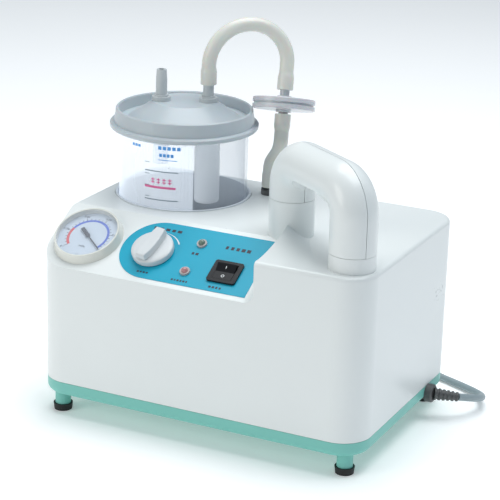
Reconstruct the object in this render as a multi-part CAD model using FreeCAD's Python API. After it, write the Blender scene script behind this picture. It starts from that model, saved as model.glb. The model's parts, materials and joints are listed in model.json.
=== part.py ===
import FreeCAD, Part
import math
import os

# Portable suction pump. Millimetres, +Z up, +X along the front face to the right, +Y to the back.
# The origin is on the floor, under the centre of the case.

# ---- case ----
BODY_LENGTH = 280.0
BODY_WIDTH = 192.0
CORNER_RADIUS = 24.0
TRAY_BOTTOM = 17.0
SEAM_HEIGHT = 28.8
TOP_HEIGHT = 159.5
COVER_WALL = 3.0
TRAY_WALL = 3.0
TRAY_FLOOR = 3.0
TRAY_EDGE_RADIUS = 5.0
COVER_EDGE_RADIUS = 3.5
SEAM_GAP = 0.3

# ---- slanted control face ----
PANEL_TOP_Y = -36.0
PANEL_DROP = 33.5
PANEL_RIGHT_X = 50.0
PANEL_CORNER_RADIUS = 8.0
LABEL_LEFT_X = -78.0
LABEL_RIGHT_X = 41.0
LABEL_TOP_S = 4.5
LABEL_BOTTOM_S = 64.0
LABEL_THICKNESS = 0.4

# ---- feet and case screws ----
FOOT_INSET_X = 16.0
FOOT_INSET_Y = 14.5
FOOT_RADIUS = 7.8
FOOT_HEIGHT = 5.5
BOSS_RADIUS = 6.3
POST_RADIUS = 5.0
SCREW_RADIUS = 1.9
SCREW_HEAD_RADIUS = 3.6
SCREW_HEAD_HEIGHT = 2.6
SCREW_LENGTH = 42.0
FIT_GAP = 0.3
RUNNING_GAP = 0.05

# ---- handle ----
HANDLE_RADIUS = 17.85
HANDLE_WALL = 3.0
HANDLE_AXIS_HEIGHT = 219.2
HANDLE_INNER_BEND = 2.15
LEFT_LEG = (45.0, -20.5)
RIGHT_LEG = (118.0, -71.0)
LEFT_SEAM = 189.5
RIGHT_SEAM = 172.0
HALF_SHELL_GAP = 0.5
BAR_UNDERSIDE_LIFT = 10.5
BAR_ARCH_RADIUS = 13.0
FLARE_HEIGHT = 13.0
FLARE_SPREAD = 48.0
FLARE_FRONT_Y = -92.0
FLARE_SINK = 0.1

# ---- jar, lid and their ports ----
JAR_CENTRE = (-78.5, 34.5)
JAR_RADIUS = 52.5
JAR_WALL = 2.4
JAR_FLOOR = 3.0
JAR_RIM_HEIGHT = 216.5
WELL_RADIUS = 54.0
WELL_WALL = 1.8
WELL_FLOOR_HEIGHT = 64.0
WELL_LIP = 0.8
LID_FLANGE_RADIUS = 60.5
LID_FLANGE_THICKNESS = 3.9
LID_OVERLAP = 1.0
LID_RIM_RADIUS = 55.8
LID_RIM_HEIGHT = 231.0
PLATEAU_RADIUS = 25.4
PLATEAU_HEIGHT = 236.5
LID_WALL = 2.5
PORT_OFFSET = 19.0
PORT_HEADING = 25.0
COLLAR_RADIUS = 7.6
COLLAR_HEIGHT = 3.4
NECK_RADIUS = 5.0
BARB_RADIUS = 4.4
BORE_RADIUS = 2.6
NOZZLE_TOP = 262.0
NOZZLE_RADIUS = 4.6
SPIGOT_STRAIGHT = 12.0
DIP_TUBE_RADIUS = 6.5
DIP_TUBE_BOTTOM = 184.0
TUBE_TOP = 230.0
CAGE_RADIUS = 10.4
CAGE_WALL = 1.4
CAGE_BOTTOM = 152.0
FLOAT_LENGTH = 30.0

# ---- hoses and disc filter ----
HOSE_RADIUS = 5.9
HOSE_BORE_RADIUS = 4.0
CUFF_RADIUS = 6.6
CUFF_LENGTH = 14.0
HOSE_TOP = 298.5
LID_HOSE_END = 251.0
FILTER_LEFT_X = -32.0
FILTER_Y = 70.0
FILTER_HEIGHT = 235.6
FILTER_RADIUS = 25.5
FILTER_THICKNESS = 9.2
FILTER_TILT = 18.0
FILTER_HEADING = 106.0
SPIGOT_RADIUS = 3.9
SPIGOT_SHOWING_TOP = 7.0
SPIGOT_SHOWING_BOTTOM = 3.5
DECK_PORT = (-15.0, 66.0)
DECK_HOSE_END = 166.0
DECK_NUT_RADIUS = 8.5
PORT_TAIL = 14.0

# ---- gauge, knob, switch and lamps, as (x, distance down the control face) ----
GAUGE_PLACE = (-109.0, 34.5)
GAUGE_RADIUS = 28.5
GAUGE_HEIGHT = 7.0
LENS_RADIUS = 25.0
GAUGE_BARREL_RADIUS = 23.0
GAUGE_DEPTH = 20.0
DIAL_HEIGHT = 2.2
NEEDLE_REST_ANGLE = -38.0
KNOB_PLACE = (-50.0, 36.0)
KNOB_RADIUS = 16.8
KNOB_BASE = 4.5
KNOB_GRIP_HEIGHT = 11.0
KNOB_GRIP_WIDTH = 10.5
KNOB_REST_ANGLE = -8.0
STEM_IN_KNOB = 7.5
VALVE_RADIUS = 9.0
VALVE_DEPTH = 30.0
VALVE_NECK_RADIUS = 4.2
VALVE_BARB_HEIGHT = -22.0
SWITCH_PLACE = (16.3, 44.2)
SWITCH_LENGTH = 24.0
SWITCH_WIDTH = 21.5
ROCKER_LENGTH = 16.0
ROCKER_WIDTH = 17.0
ROCKER_TILT = 10.0
LAMP_PLACES = ((-14.8, 20.1), (-15.6, 50.3))
LAMP_RADIUS = 4.0

# ---- motor and diaphragm pump ----
MOTOR_AXIS = (28.0, 78.0)
STATOR_RADIUS = 36.0
STATOR_START = 72.0
STATOR_LENGTH = 36.0
ROTOR_RADIUS = 20.0
AIR_GAP = 0.5
BELL_DEPTH = 14.0
SHAFT_RADIUS = 4.0
BEARING_RADIUS = 11.0
BEARING_WIDTH = 7.0
FAN_RADIUS = 30.0
FAN_BLADES = 8
PUMP_X = 46.0
CRANK_THROW = 2.5
CRANK_RADIUS = 11.0
CRANK_WIDTH = 10.0
ROD_WALL = 4.0
DIAPHRAGM_DROP = 35.5
DIAPHRAGM_RADIUS = 25.0
DIAPHRAGM_THICKNESS = 2.5
PUMP_BORE_RADIUS = 17.0
PLATE_HEIGHT = 32.0
PLATE_THICKNESS = 3.0

# ---- fuse on the back, as (x, z) ----
FUSE_PLACE = (96.0, 48.0)
FUSE_CAP_RADIUS = 7.5

# ---- mains lead ----
GLAND_PLACE = (47.0, 21.5)
GLAND_RADIUS = 7.5
GLAND_LENGTH = 6.0
CORD_DIAMETER = 6.0
RELIEF_END = (163.2, 56.4, 18.8)
CORD_ROUTE = (
    (163.2, 56.4, 18.8),
    (171.8, 67.8, 15.2),
    (174.6, 82.2, 10.6),
    (170.6, 96.6, 6.2),
    (160.0, 108.2, 3.6),
    (142.8, 117.4, 3.1),
    (118.0, 127.5, 3.1),
    (97.0, 145.0, 3.1),
    (82.0, 166.0, 3.1),
    (67.0, 184.0, 3.1),
    (50.0, 192.8, 3.1),
    (33.9, 195.6, 3.1),
)
COIL_CENTRE = (26.0, 151.0)
COIL_MIDDLE_RADIUS = 36.0
COIL_BAND = 24.6
COIL_HEIGHT = 12.3
COIL_EXIT = (38.0, 193.0, 9.0)
PLUG_REAR = (8.0, 203.3, 7.5)
PLUG_LENGTH = 46.0
PLUG_NECK = 14.0
PLUG_WIDTH = 24.0
PLUG_HEIGHT = 15.0
PIN_RADIUS = 2.2
PIN_LENGTH = 18.0
PIN_SPACING = 13.0

UP = FreeCAD.Vector(0, 0, 1)
ALONG_X = FreeCAD.Vector(1, 0, 0)
ALONG_Y = FreeCAD.Vector(0, 1, 0)
PANEL_RUN = PANEL_TOP_Y + BODY_WIDTH / 2
PANEL_ANGLE = math.degrees(math.atan2(PANEL_DROP, PANEL_RUN))
PORT_DIRECTION = (math.cos(math.radians(PORT_HEADING)), math.sin(math.radians(PORT_HEADING)))
INLET = tuple(c - PORT_OFFSET * d for c, d in zip(JAR_CENTRE, PORT_DIRECTION))
OUTLET = tuple(c + PORT_OFFSET * d for c, d in zip(JAR_CENTRE, PORT_DIRECTION))
SHAFT_START = PUMP_X - CRANK_WIDTH / 2 - 2
REAR_BELL_END = STATOR_START + STATOR_LENGTH + BELL_DEPTH
CRANK_HEIGHT = MOTOR_AXIS[1] + CRANK_THROW
ROOM_TOP = TOP_HEIGHT - COVER_WALL
DIAPHRAGM_HEIGHT = TOP_HEIGHT - DIAPHRAGM_DROP
FILTER_CENTRE = (FILTER_LEFT_X + FILTER_RADIUS, FILTER_Y, FILTER_HEIGHT)


def vector(x, y, z):
    return FreeCAD.Vector(x, y, z)


def cylinder(radius, height, base, direction=UP):
    return Part.makeCylinder(radius, height, base, direction)


def cone(bottom_radius, top_radius, height, base, direction=UP):
    return Part.makeCone(bottom_radius, top_radius, height, base, direction)


def ring(outer, inner, height, base, direction=UP):
    return cylinder(outer, height, base, direction).cut(cylinder(inner, height, base, direction))


def block(size, low_corner):
    return Part.makeBox(size[0], size[1], size[2], vector(*low_corner))


def rounded_block(length, width, height, radius, centre, bottom):
    """A block with round upright corners, centred on a point."""
    solid = block((length, width, height), (centre[0] - length / 2, centre[1] - width / 2, bottom))
    upright = [e for e in solid.Edges if abs(e.tangentAt(e.FirstParameter).z) > 0.9]
    return solid.makeFillet(radius, upright)


def turned(profile, centre):
    """A solid turned from (radius, height) points about the upright axis through a centre."""
    points = [vector(centre[0] + r, centre[1], z) for r, z in profile]
    face = Part.Face(Part.makePolygon(points + points[:1]))
    return face.revolve(vector(centre[0], centre[1], 0), UP, 360)


def joined(shapes):
    """One solid from overlapping shapes."""
    return shapes[0].multiFuse(shapes[1:]).removeSplitter()


def save(name, *solids):
    shape = solids[0] if len(solids) == 1 else Part.makeCompound(list(solids))
    shape.exportStep("parts/%s.step" % name)


def on_panel(place, turn=0.0):
    """Placement on the control face: local Z stands out of it, local Y points up the slope."""
    x, down = place
    angle = math.radians(PANEL_ANGLE)
    origin = vector(x, PANEL_TOP_Y - down * math.cos(angle), TOP_HEIGHT - down * math.sin(angle))
    tilt = FreeCAD.Rotation(ALONG_X, PANEL_ANGLE)
    return FreeCAD.Placement(origin, tilt.multiply(FreeCAD.Rotation(UP, turn)))


def placed(shape, placement):
    moved = shape.copy()
    moved.Placement = placement.multiply(moved.Placement)
    return moved


def corner_places(inset_x, inset_y):
    half_x = BODY_LENGTH / 2 - inset_x
    half_y = BODY_WIDTH / 2 - inset_y
    return [(sx * half_x, sy * half_y) for sx in (-1, 1) for sy in (-1, 1)]


FOOT_PLACES = corner_places(FOOT_INSET_X, FOOT_INSET_Y)


def path_wire(points, share=0.45, end_share=None, report=None):
    """Straight runs joined by tangent arcs, each as large as its shares of the two runs allow."""
    corners = [vector(*p) for p in points]
    edges = []
    radii = []
    start = corners[0]
    last_corner = len(corners) - 2
    for i, (before, corner, after) in enumerate(zip(corners, corners[1:], corners[2:]), 1):
        back = (before - corner).normalize()
        ahead = (after - corner).normalize()
        half_turn = (math.pi - back.getAngle(ahead)) / 2
        first_share = end_share if end_share and i == 1 else share
        next_share = end_share if end_share and i == last_corner else share
        reach = min(first_share * (before - corner).Length, next_share * (after - corner).Length)
        radius = reach / math.tan(half_turn)
        radii.append(radius)
        middle = corner + (back + ahead).normalize() * (radius / math.cos(half_turn) - radius)
        first = corner + back * reach
        last = corner + ahead * reach
        edges.append(Part.LineSegment(start, first).toShape())
        edges.append(Part.Arc(first, middle, last).toShape())
        start = last
    edges.append(Part.LineSegment(start, corners[-1]).toShape())
    wire = Part.Wire(edges)
    if report:
        shown = " ".join("%.1f" % r for r in radii)
        print("%s: length %.1f, arc radii %s" % (report, wire.Length, shown))
    return wire


def swept(points, radius, share=0.45, end_share=None, report=None):
    wire = path_wire(points, share, end_share, report)
    start = vector(*points[0])
    heading = vector(*points[1]) - start
    profile = Part.Wire(Part.Circle(start, heading, radius).toShape())
    solid = wire.makePipeShell([profile], True, False)
    if report:
        expected = math.pi * radius ** 2 * wire.Length
        print("%s: volume %.0f, section times length %.0f" % (report, solid.Volume, expected))
    return solid


# ---------------------------------------------------------------- case

def base_tray():
    height = SEAM_HEIGHT - SEAM_GAP - TRAY_BOTTOM
    centre = (0, 0)
    outer = rounded_block(BODY_LENGTH, BODY_WIDTH, height, CORNER_RADIUS, centre, TRAY_BOTTOM)
    low_edges = [e for e in outer.Edges if e.BoundBox.ZMax < TRAY_BOTTOM + 0.01]
    outer = outer.makeFillet(TRAY_EDGE_RADIUS, low_edges)
    inner = rounded_block(BODY_LENGTH - 2 * TRAY_WALL, BODY_WIDTH - 2 * TRAY_WALL, height,
                          CORNER_RADIUS - TRAY_WALL, centre, TRAY_BOTTOM + TRAY_FLOOR)
    tray = outer.cut(inner)
    for x, y in FOOT_PLACES:
        boss_height = TRAY_BOTTOM + TRAY_FLOOR - FOOT_HEIGHT
        tray = tray.fuse(cylinder(BOSS_RADIUS, boss_height, vector(x, y, FOOT_HEIGHT)))
    for x, y in FOOT_PLACES:
        tray = tray.cut(cylinder(SCREW_RADIUS + FIT_GAP, TRAY_BOTTOM + TRAY_FLOOR, vector(x, y, 0)))
    slots = [block((30, 2.5, TRAY_FLOOR + 2), (40, -40 + 9 * i, TRAY_BOTTOM - 1)) for i in range(7)]
    tray = tray.cut(Part.makeCompound(slots))
    save("base_tray", tray.cut(gland_hole()))


def rubber_feet():
    feet = []
    for x, y in FOOT_PLACES:
        foot = cone(FOOT_RADIUS - 0.6, FOOT_RADIUS, FOOT_HEIGHT, vector(x, y, 0))
        recess = cylinder(SCREW_HEAD_RADIUS + FIT_GAP, SCREW_HEAD_HEIGHT + 1.0, vector(x, y, 0))
        bore = cylinder(SCREW_RADIUS + FIT_GAP, FOOT_HEIGHT, vector(x, y, 0))
        feet.append(foot.cut(recess).cut(bore))
    save("rubber_feet", *feet)


def case_screws():
    screws = []
    for x, y in FOOT_PLACES:
        head = cylinder(SCREW_HEAD_RADIUS, SCREW_HEAD_HEIGHT, vector(x, y, 1.0))
        slot = block((0.8, 5.0, 1.2), (x - 0.4, y - 2.5, 1.0))
        shank = cylinder(SCREW_RADIUS, SCREW_LENGTH, vector(x, y, 1.0 + SCREW_HEAD_HEIGHT))
        screws.append(head.fuse(shank).removeSplitter().cut(slot))
    save("case_screws", *screws)


def cover_form(inset, edge_radius):
    """The cover's outer form, or with an inset its inner form, with the slanted face cut away."""
    length = BODY_LENGTH - 2 * inset
    width = BODY_WIDTH - 2 * inset
    top = TOP_HEIGHT - inset
    height = top - SEAM_HEIGHT
    form = rounded_block(length, width, height, CORNER_RADIUS - inset, (0, 0), SEAM_HEIGHT)
    top_edges = [e for e in form.Edges if e.BoundBox.ZMin > top - 0.01]
    form = form.makeFillet(edge_radius, top_edges)
    placement = on_panel((0, 0))
    cutter = block((BODY_LENGTH, 200, 100), (PANEL_RIGHT_X + inset - BODY_LENGTH, -150, -inset))
    corner = [e for e in cutter.Edges if e.BoundBox.ZMax < 0.01 - inset and e.BoundBox.XMin > 0]
    cutter = cutter.makeFillet(PANEL_CORNER_RADIUS, corner)
    return form.cut(placed(cutter, placement))


def handle_flare():
    """The top of the case swells up into the left leg, spreading forward and to the right."""
    leg_x, leg_y = LEFT_LEG
    leg_right = leg_x + HANDLE_RADIUS
    leg_front = leg_y - HANDLE_RADIUS
    steps = 14
    rows = []
    for i in range(steps):
        across = i / (steps - 1)
        row = []
        for j in range(steps):
            y = FLARE_FRONT_Y + (leg_y - FLARE_FRONT_Y) * j / (steps - 1)
            forward = (leg_y - y) / (leg_y - FLARE_FRONT_Y)
            edge_x = leg_right + FLARE_SPREAD * forward ** 1.35
            x = PANEL_RIGHT_X + (edge_x - PANEL_RIGHT_X) * across
            front = max(0.0, (leg_front - y) / (leg_front - FLARE_FRONT_Y))
            rise = FLARE_HEIGHT * (1 - across) ** 1.6 * (1 - front) ** 1.7
            row.append(vector(x, y, TOP_HEIGHT - FLARE_SINK + rise))
        rows.append(row)
    surface = Part.BSplineSurface()
    surface.interpolate(rows)
    return surface.toShape().extrude(vector(0, 0, -(FLARE_HEIGHT + 6)))


def handle_stub(leg, seam):
    return cylinder(HANDLE_RADIUS, seam - SEAM_GAP - ROOM_TOP, vector(*leg, ROOM_TOP))


def top_cover():
    outer = cover_form(0, COVER_EDGE_RADIUS)
    flare = handle_flare()
    keep = block((60, BODY_WIDTH, FLARE_HEIGHT + 4), (PANEL_RIGHT_X, -BODY_WIDTH / 2, TOP_HEIGHT - 2))
    outer = outer.fuse(flare.common(keep))
    for leg, seam in ((LEFT_LEG, LEFT_SEAM), (RIGHT_LEG, RIGHT_SEAM)):
        outer = outer.fuse(handle_stub(leg, seam))
    shell = outer.cut(cover_form(COVER_WALL, 1.0))
    for leg, seam in ((LEFT_LEG, LEFT_SEAM), (RIGHT_LEG, RIGHT_SEAM)):
        low = ROOM_TOP - 12
        bore = cylinder(HANDLE_RADIUS - HANDLE_WALL, seam - low, vector(*leg, low))
        shell = shell.cut(bore)
    for x, y in FOOT_PLACES:
        bottom = SEAM_HEIGHT - 6
        post = cylinder(POST_RADIUS, 60 - bottom, vector(x, y, bottom))
        reach = POST_RADIUS + 9
        rib = block((reach, 3, 20), (x if x > 0 else x - reach, y - 1.5, 40))
        keep_in = rounded_block(BODY_LENGTH - COVER_WALL, BODY_WIDTH - COVER_WALL, 60,
                                CORNER_RADIUS - COVER_WALL / 2, (0, 0), bottom)
        shell = shell.fuse(post.fuse(rib.common(keep_in)))
        shell = shell.cut(cylinder(SCREW_RADIUS, 40, vector(x, y, bottom)))
    holes = [cylinder(WELL_RADIUS + WELL_WALL + FIT_GAP, 20, vector(*JAR_CENTRE, TOP_HEIGHT - 10))]
    holes.append(cylinder(4.0 + FIT_GAP, 12, vector(*DECK_PORT, TOP_HEIGHT - 8)))
    gauge_hole = cylinder(GAUGE_BARREL_RADIUS + FIT_GAP, 12, vector(0, 0, -6))
    holes.append(placed(gauge_hole, on_panel(GAUGE_PLACE)))
    holes.extend(control_holes())
    holes.append(fuse_hole())
    for hole in holes:
        shell = shell.cut(hole)
    save("top_cover", shell.cut(gland_hole()))


def control_holes():
    """The openings for the knob, the switch and the lamps, through cover and label alike."""
    low = vector(0, 0, -6)
    length = SWITCH_LENGTH - 3
    width = SWITCH_WIDTH - 3
    opening = block((length, width, 12), (-length / 2, -width / 2, low.z))
    holes = [
        placed(cylinder(VALVE_NECK_RADIUS + FIT_GAP, 12, low), on_panel(KNOB_PLACE)),
        placed(opening, on_panel(SWITCH_PLACE)),
    ]
    for place in LAMP_PLACES:
        holes.append(placed(cylinder(LAMP_RADIUS - 0.8, 12, low), on_panel(place)))
    return holes


def gland_hole():
    y, z = GLAND_PLACE
    return cylinder(GLAND_RADIUS - 1.5, 16, vector(BODY_LENGTH / 2 - 14, y, z), ALONG_X)


def jar_well():
    outer = WELL_RADIUS + WELL_WALL
    lip_top = TOP_HEIGHT + WELL_LIP
    cup = cylinder(outer, lip_top - WELL_FLOOR_HEIGHT + WELL_WALL,
                   vector(*JAR_CENTRE, WELL_FLOOR_HEIGHT - WELL_WALL))
    room = cylinder(WELL_RADIUS, lip_top - WELL_FLOOR_HEIGHT, vector(*JAR_CENTRE, WELL_FLOOR_HEIGHT))
    drain = cylinder(3.0, 10, vector(*JAR_CENTRE, WELL_FLOOR_HEIGHT - 6))
    save("jar_well", cup.cut(room).cut(drain))


# ---------------------------------------------------------------- handle

def under_bar(span, inset, centre, turn):
    """The arched space between the legs, or with an inset the same space one wall larger."""
    half = span / 2 - HANDLE_RADIUS + inset - SEAM_GAP
    top = inset - HANDLE_RADIUS + BAR_UNDERSIDE_LIFT
    arch = Part.makeBox(2 * half, 60, 40, vector(-half, -30, top - 40))
    corners = [e for e in arch.Edges if e.BoundBox.ZMin > top - 0.01 and e.BoundBox.XLength < 0.01]
    arch = arch.makeFillet(BAR_ARCH_RADIUS + inset, corners)
    arch.rotate(vector(0, 0, 0), UP, turn)
    arch.translate(centre)
    return arch


def handle_shells():
    left = vector(*LEFT_LEG, LEFT_SEAM)
    right = vector(*RIGHT_LEG, RIGHT_SEAM)
    top_left = vector(*LEFT_LEG, HANDLE_AXIS_HEIGHT)
    top_right = vector(*RIGHT_LEG, HANDLE_AXIS_HEIGHT)
    across = (top_right - top_left).normalize()
    bend = HANDLE_RADIUS + HANDLE_INNER_BEND

    def bend_arc(corner, out, start_up):
        low = corner - UP * bend
        side = corner + out * bend
        middle = corner + (out - UP) * bend * (1 - math.sqrt(0.5))
        ends = (low, side) if start_up else (side, low)
        return Part.Arc(ends[0], middle, ends[1]).toShape()

    edges = [
        Part.LineSegment(left, top_left - UP * bend).toShape(),
        bend_arc(top_left, across, True),
        Part.LineSegment(top_left + across * bend, top_right - across * bend).toShape(),
        bend_arc(top_right, across * -1, False),
        Part.LineSegment(top_right - UP * bend, right).toShape(),
    ]
    path = Part.Wire(edges)
    centre = (top_left + top_right) * 0.5
    turn = math.degrees(math.atan2(across.y, across.x))
    span = (top_right - top_left).Length
    tubes = []
    for inset in (0, HANDLE_WALL):
        profile = Part.Wire(Part.Circle(left, UP, HANDLE_RADIUS - inset).toShape())
        solid = path.makePipeShell([profile], True, False)
        tubes.append(solid.cut(under_bar(span, inset, centre, turn)))
    tube = tubes[0].cut(tubes[1])
    normal = vector(-across.y, across.x, 0)
    for name, side in (("handle_front_shell", -1), ("handle_rear_shell", 1)):
        half = Part.makeBox(200, 60, 160, vector(-100, 0 if side > 0 else -60, -80))
        half.rotate(vector(0, 0, 0), UP, turn)
        half.translate(centre + normal * side * HALF_SHELL_GAP / 2)
        save(name, tube.common(half))


# ---------------------------------------------------------------- control face

def control_label():
    height = LABEL_BOTTOM_S - LABEL_TOP_S
    length = LABEL_RIGHT_X - LABEL_LEFT_X
    left_end = height / 2
    start = LABEL_LEFT_X + left_end
    bar = block((length - left_end, height, LABEL_THICKNESS), (start, -LABEL_BOTTOM_S, 0))
    middle = -(LABEL_TOP_S + LABEL_BOTTOM_S) / 2
    round_end = cylinder(left_end, LABEL_THICKNESS, vector(start, middle, 0))
    label = placed(bar.fuse(round_end).removeSplitter(), on_panel((0, 0)))
    for hole in control_holes():
        label = label.cut(hole)
    leg = cylinder(HANDLE_RADIUS + 0.5, 80, vector(*LEFT_LEG, TOP_HEIGHT - 40))
    save("control_label", label.cut(leg))


def gauge():
    place = on_panel(GAUGE_PLACE)
    rim = cone(GAUGE_RADIUS, LENS_RADIUS + 1.2, GAUGE_HEIGHT, vector(0, 0, 0))
    rim = rim.cut(cylinder(LENS_RADIUS, GAUGE_HEIGHT, vector(0, 0, 0)))
    floor = cylinder(LENS_RADIUS + 0.5, DIAL_HEIGHT - 1.0, vector(0, 0, 0))
    inner = GAUGE_BARREL_RADIUS - 1.5
    barrel = ring(GAUGE_BARREL_RADIUS, inner, GAUGE_DEPTH, vector(0, 0, -GAUGE_DEPTH))
    case = joined([rim, floor, barrel]).cut(cylinder(2.6, 10, vector(0, 0, -5)))
    save("gauge_case", placed(case, place))
    dial = cylinder(LENS_RADIUS, 1.0, vector(0, 0, DIAL_HEIGHT - 1.0))
    save("gauge_dial", placed(dial.cut(cylinder(1.2, 4, vector(0, 0, 0))), place))
    lens_low = GAUGE_HEIGHT - 2.0
    lens = cylinder(LENS_RADIUS, 1.6, vector(0, 0, lens_low))
    save("gauge_lens", placed(lens, place))
    movement = block((24, 12, 14), (-12, -6, -17))
    stem = cylinder(3.2, 14, vector(0, 0, -31))
    post = ring(2.2, 0.8 + RUNNING_GAP, 3.6, vector(0, 0, -3.2))
    bore = cylinder(0.8 + RUNNING_GAP, 6.0, vector(0, 0, -8.0))
    save("gauge_movement", placed(joined([movement, stem, post]).cut(bore), place))
    blade = block((19, 1.0, 0.5), (0, -0.5, DIAL_HEIGHT + 1.0))
    tail = block((7.5, 3.2, 0.5), (-10.0, -1.6, DIAL_HEIGHT + 1.0))
    hub = cylinder(1.9, 1.2, vector(0, 0, DIAL_HEIGHT + 0.6))
    pivot = cylinder(0.8, DIAL_HEIGHT + 1.6 + 6.0, vector(0, 0, -6.0))
    link = block((4, 1.6, 0.5), (-3.0, -0.8, DIAL_HEIGHT + 1.0))
    needle = joined([blade, tail, link, hub, pivot])
    save("gauge_needle", placed(needle, on_panel(GAUGE_PLACE, NEEDLE_REST_ANGLE)))
    valve_x = KNOB_PLACE[0] - GAUGE_PLACE[0] - VALVE_RADIUS
    valve_y = GAUGE_PLACE[1] - KNOB_PLACE[1]
    tube = [(0, 0, -25), (0, 0, -40), (valve_x - 25, 0, -40), (valve_x - 15, valve_y, VALVE_BARB_HEIGHT),
            (valve_x - 0.2, valve_y, VALVE_BARB_HEIGHT)]
    hose = swept(tube, 4.4).cut(swept(tube, 2.0))
    stem_room = cylinder(3.2, 14, vector(0, 0, -31))
    valve_barb = cylinder(2.0, 12, vector(valve_x - 6, valve_y, VALVE_BARB_HEIGHT), ALONG_X)
    save("gauge_tube", placed(hose.cut(stem_room).cut(valve_barb), place))


def knob_and_valve():
    place = on_panel(KNOB_PLACE, KNOB_REST_ANGLE)
    lift = LABEL_THICKNESS + FIT_GAP
    skirt = cone(KNOB_RADIUS, KNOB_RADIUS - 1.0, KNOB_BASE, vector(0, 0, lift))
    half = KNOB_GRIP_WIDTH / 2
    grip = block((KNOB_GRIP_WIDTH, 2 * KNOB_RADIUS - 3, KNOB_GRIP_HEIGHT - KNOB_BASE + 1),
                 (-half, -KNOB_RADIUS + 1.5, lift + KNOB_BASE - 1))
    top_edges = [e for e in grip.Edges if e.BoundBox.ZMin > lift + KNOB_GRIP_HEIGHT - 0.1]
    grip = grip.makeFillet(3.0, top_edges)
    waist = cylinder(KNOB_RADIUS - 1.5, 30, vector(0, 0, 0))
    knob = joined([skirt, grip.common(waist)])
    bore = cylinder(2.5, STEM_IN_KNOB + 0.5, vector(0, 0, lift))
    save("regulator_knob", placed(knob.cut(bore), place))
    stem = cylinder(2.5, STEM_IN_KNOB + lift + 14, vector(0, 0, -14))
    save("valve_stem", placed(stem, place))
    body = cylinder(VALVE_RADIUS, VALVE_DEPTH - COVER_WALL, vector(0, 0, -VALVE_DEPTH))
    neck = cylinder(VALVE_NECK_RADIUS, COVER_WALL + LABEL_THICKNESS, vector(0, 0, -COVER_WALL))
    barbs = [cylinder(2.0, 8, vector(x, 0, VALVE_BARB_HEIGHT), ALONG_X)
             for x in (-VALVE_RADIUS - 6, VALVE_RADIUS - 2)]
    valve = joined([body, neck] + barbs).cut(cylinder(2.5 + RUNNING_GAP, 16, vector(0, 0, -15)))
    save("valve_body", placed(valve, on_panel(KNOB_PLACE)))


def rocker_switch():
    place = on_panel(SWITCH_PLACE)
    depth = 18.0
    flange = rounded_block(SWITCH_LENGTH, SWITCH_WIDTH, 1.8, 2.0, (0, 0), LABEL_THICKNESS)
    body = block((SWITCH_LENGTH - 4, SWITCH_WIDTH - 4, depth),
                 (-(SWITCH_LENGTH - 4) / 2, -(SWITCH_WIDTH - 4) / 2, LABEL_THICKNESS - depth))
    room = block((ROCKER_LENGTH + 2 * FIT_GAP, ROCKER_WIDTH - 1.5 + 2 * FIT_GAP, 30),
                 (-ROCKER_LENGTH / 2 - FIT_GAP, -(ROCKER_WIDTH - 1.5) / 2 - FIT_GAP, -8.0))
    pin_axis = -1.5
    pin_length = SWITCH_LENGTH - 4.5
    pin_start = vector(-pin_length / 2, 0, pin_axis)
    blades = [block((0.8, 5, 8), (x, -2.5, LABEL_THICKNESS - depth - 8)) for x in (-7, -0.4, 6.2)]
    pin = cylinder(1.2, pin_length, pin_start, ALONG_X)
    housing = joined([flange, body] + blades).cut(room).cut(pin)
    save("switch_housing", placed(housing, place))
    save("rocker_pin", placed(pin, place))
    half = (ROCKER_WIDTH - 1.5) / 2 - 0.6
    hill = 3.6
    outline = [
        (-half, hill), (0, hill - 1.2), (half, hill), (half - 1.5, -2.5), (2.2, -4.4),
        (-2.2, -4.4), (-half + 1.5, -2.5),
    ]
    points = [vector(-ROCKER_LENGTH / 2, y, z) for y, z in outline]
    rocker = Part.Face(Part.makePolygon(points + points[:1])).extrude(vector(ROCKER_LENGTH, 0, 0))
    bore_start = vector(-ROCKER_LENGTH / 2, 0, pin_axis)
    rocker = rocker.cut(cylinder(1.2 + RUNNING_GAP, ROCKER_LENGTH, bore_start, ALONG_X))
    rocker.rotate(vector(0, 0, pin_axis), ALONG_X, ROCKER_TILT)
    save("switch_rocker", placed(rocker, place))


def lamps():
    bezels = []
    lenses = []
    for place in LAMP_PLACES:
        flange = ring(LAMP_RADIUS, LAMP_RADIUS - 1.3, 1.6, vector(0, 0, LABEL_THICKNESS))
        barrel = ring(LAMP_RADIUS - 1.0, LAMP_RADIUS - 1.3, 12, vector(0, 0, LABEL_THICKNESS - 11))
        bezels.append(placed(joined([flange, barrel]), on_panel(place)))
        stem = cylinder(LAMP_RADIUS - 1.3, 10, vector(0, 0, LABEL_THICKNESS - 8.5))
        dome = Part.makeSphere(LAMP_RADIUS - 1.3, vector(0, 0, LABEL_THICKNESS + 1.5))
        lenses.append(placed(joined([stem, dome]), on_panel(place)))
    save("lamp_bezels", *bezels)
    save("power_lamp_lens", lenses[0])
    save("overflow_lamp_lens", lenses[1])


# ---------------------------------------------------------------- jar and lid

def jar():
    bottom = WELL_FLOOR_HEIGHT + FIT_GAP
    outer = cylinder(JAR_RADIUS, JAR_RIM_HEIGHT - bottom, vector(*JAR_CENTRE, bottom))
    low_edge = [e for e in outer.Edges if e.BoundBox.ZMax < bottom + 0.01]
    outer = outer.makeFillet(4.0, low_edge)
    floor = bottom + JAR_FLOOR
    room = cylinder(JAR_RADIUS - JAR_WALL, JAR_RIM_HEIGHT - bottom, vector(*JAR_CENTRE, floor))
    low_edge = [e for e in room.Edges if e.BoundBox.ZMax < floor + 0.01]
    save("jar", outer.cut(room.makeFillet(3.0, low_edge)))
    label_low = 82.0
    label_high = 212.5
    band = ring(JAR_RADIUS + 0.25, JAR_RADIUS, label_high - label_low, vector(*JAR_CENTRE, label_low))
    wedge = Part.makeCylinder(JAR_RADIUS + 5, 200, vector(*JAR_CENTRE, 50), UP, 118)
    wedge.rotate(vector(*JAR_CENTRE, 0), UP, 188)
    save("jar_label", band.common(wedge))


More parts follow.
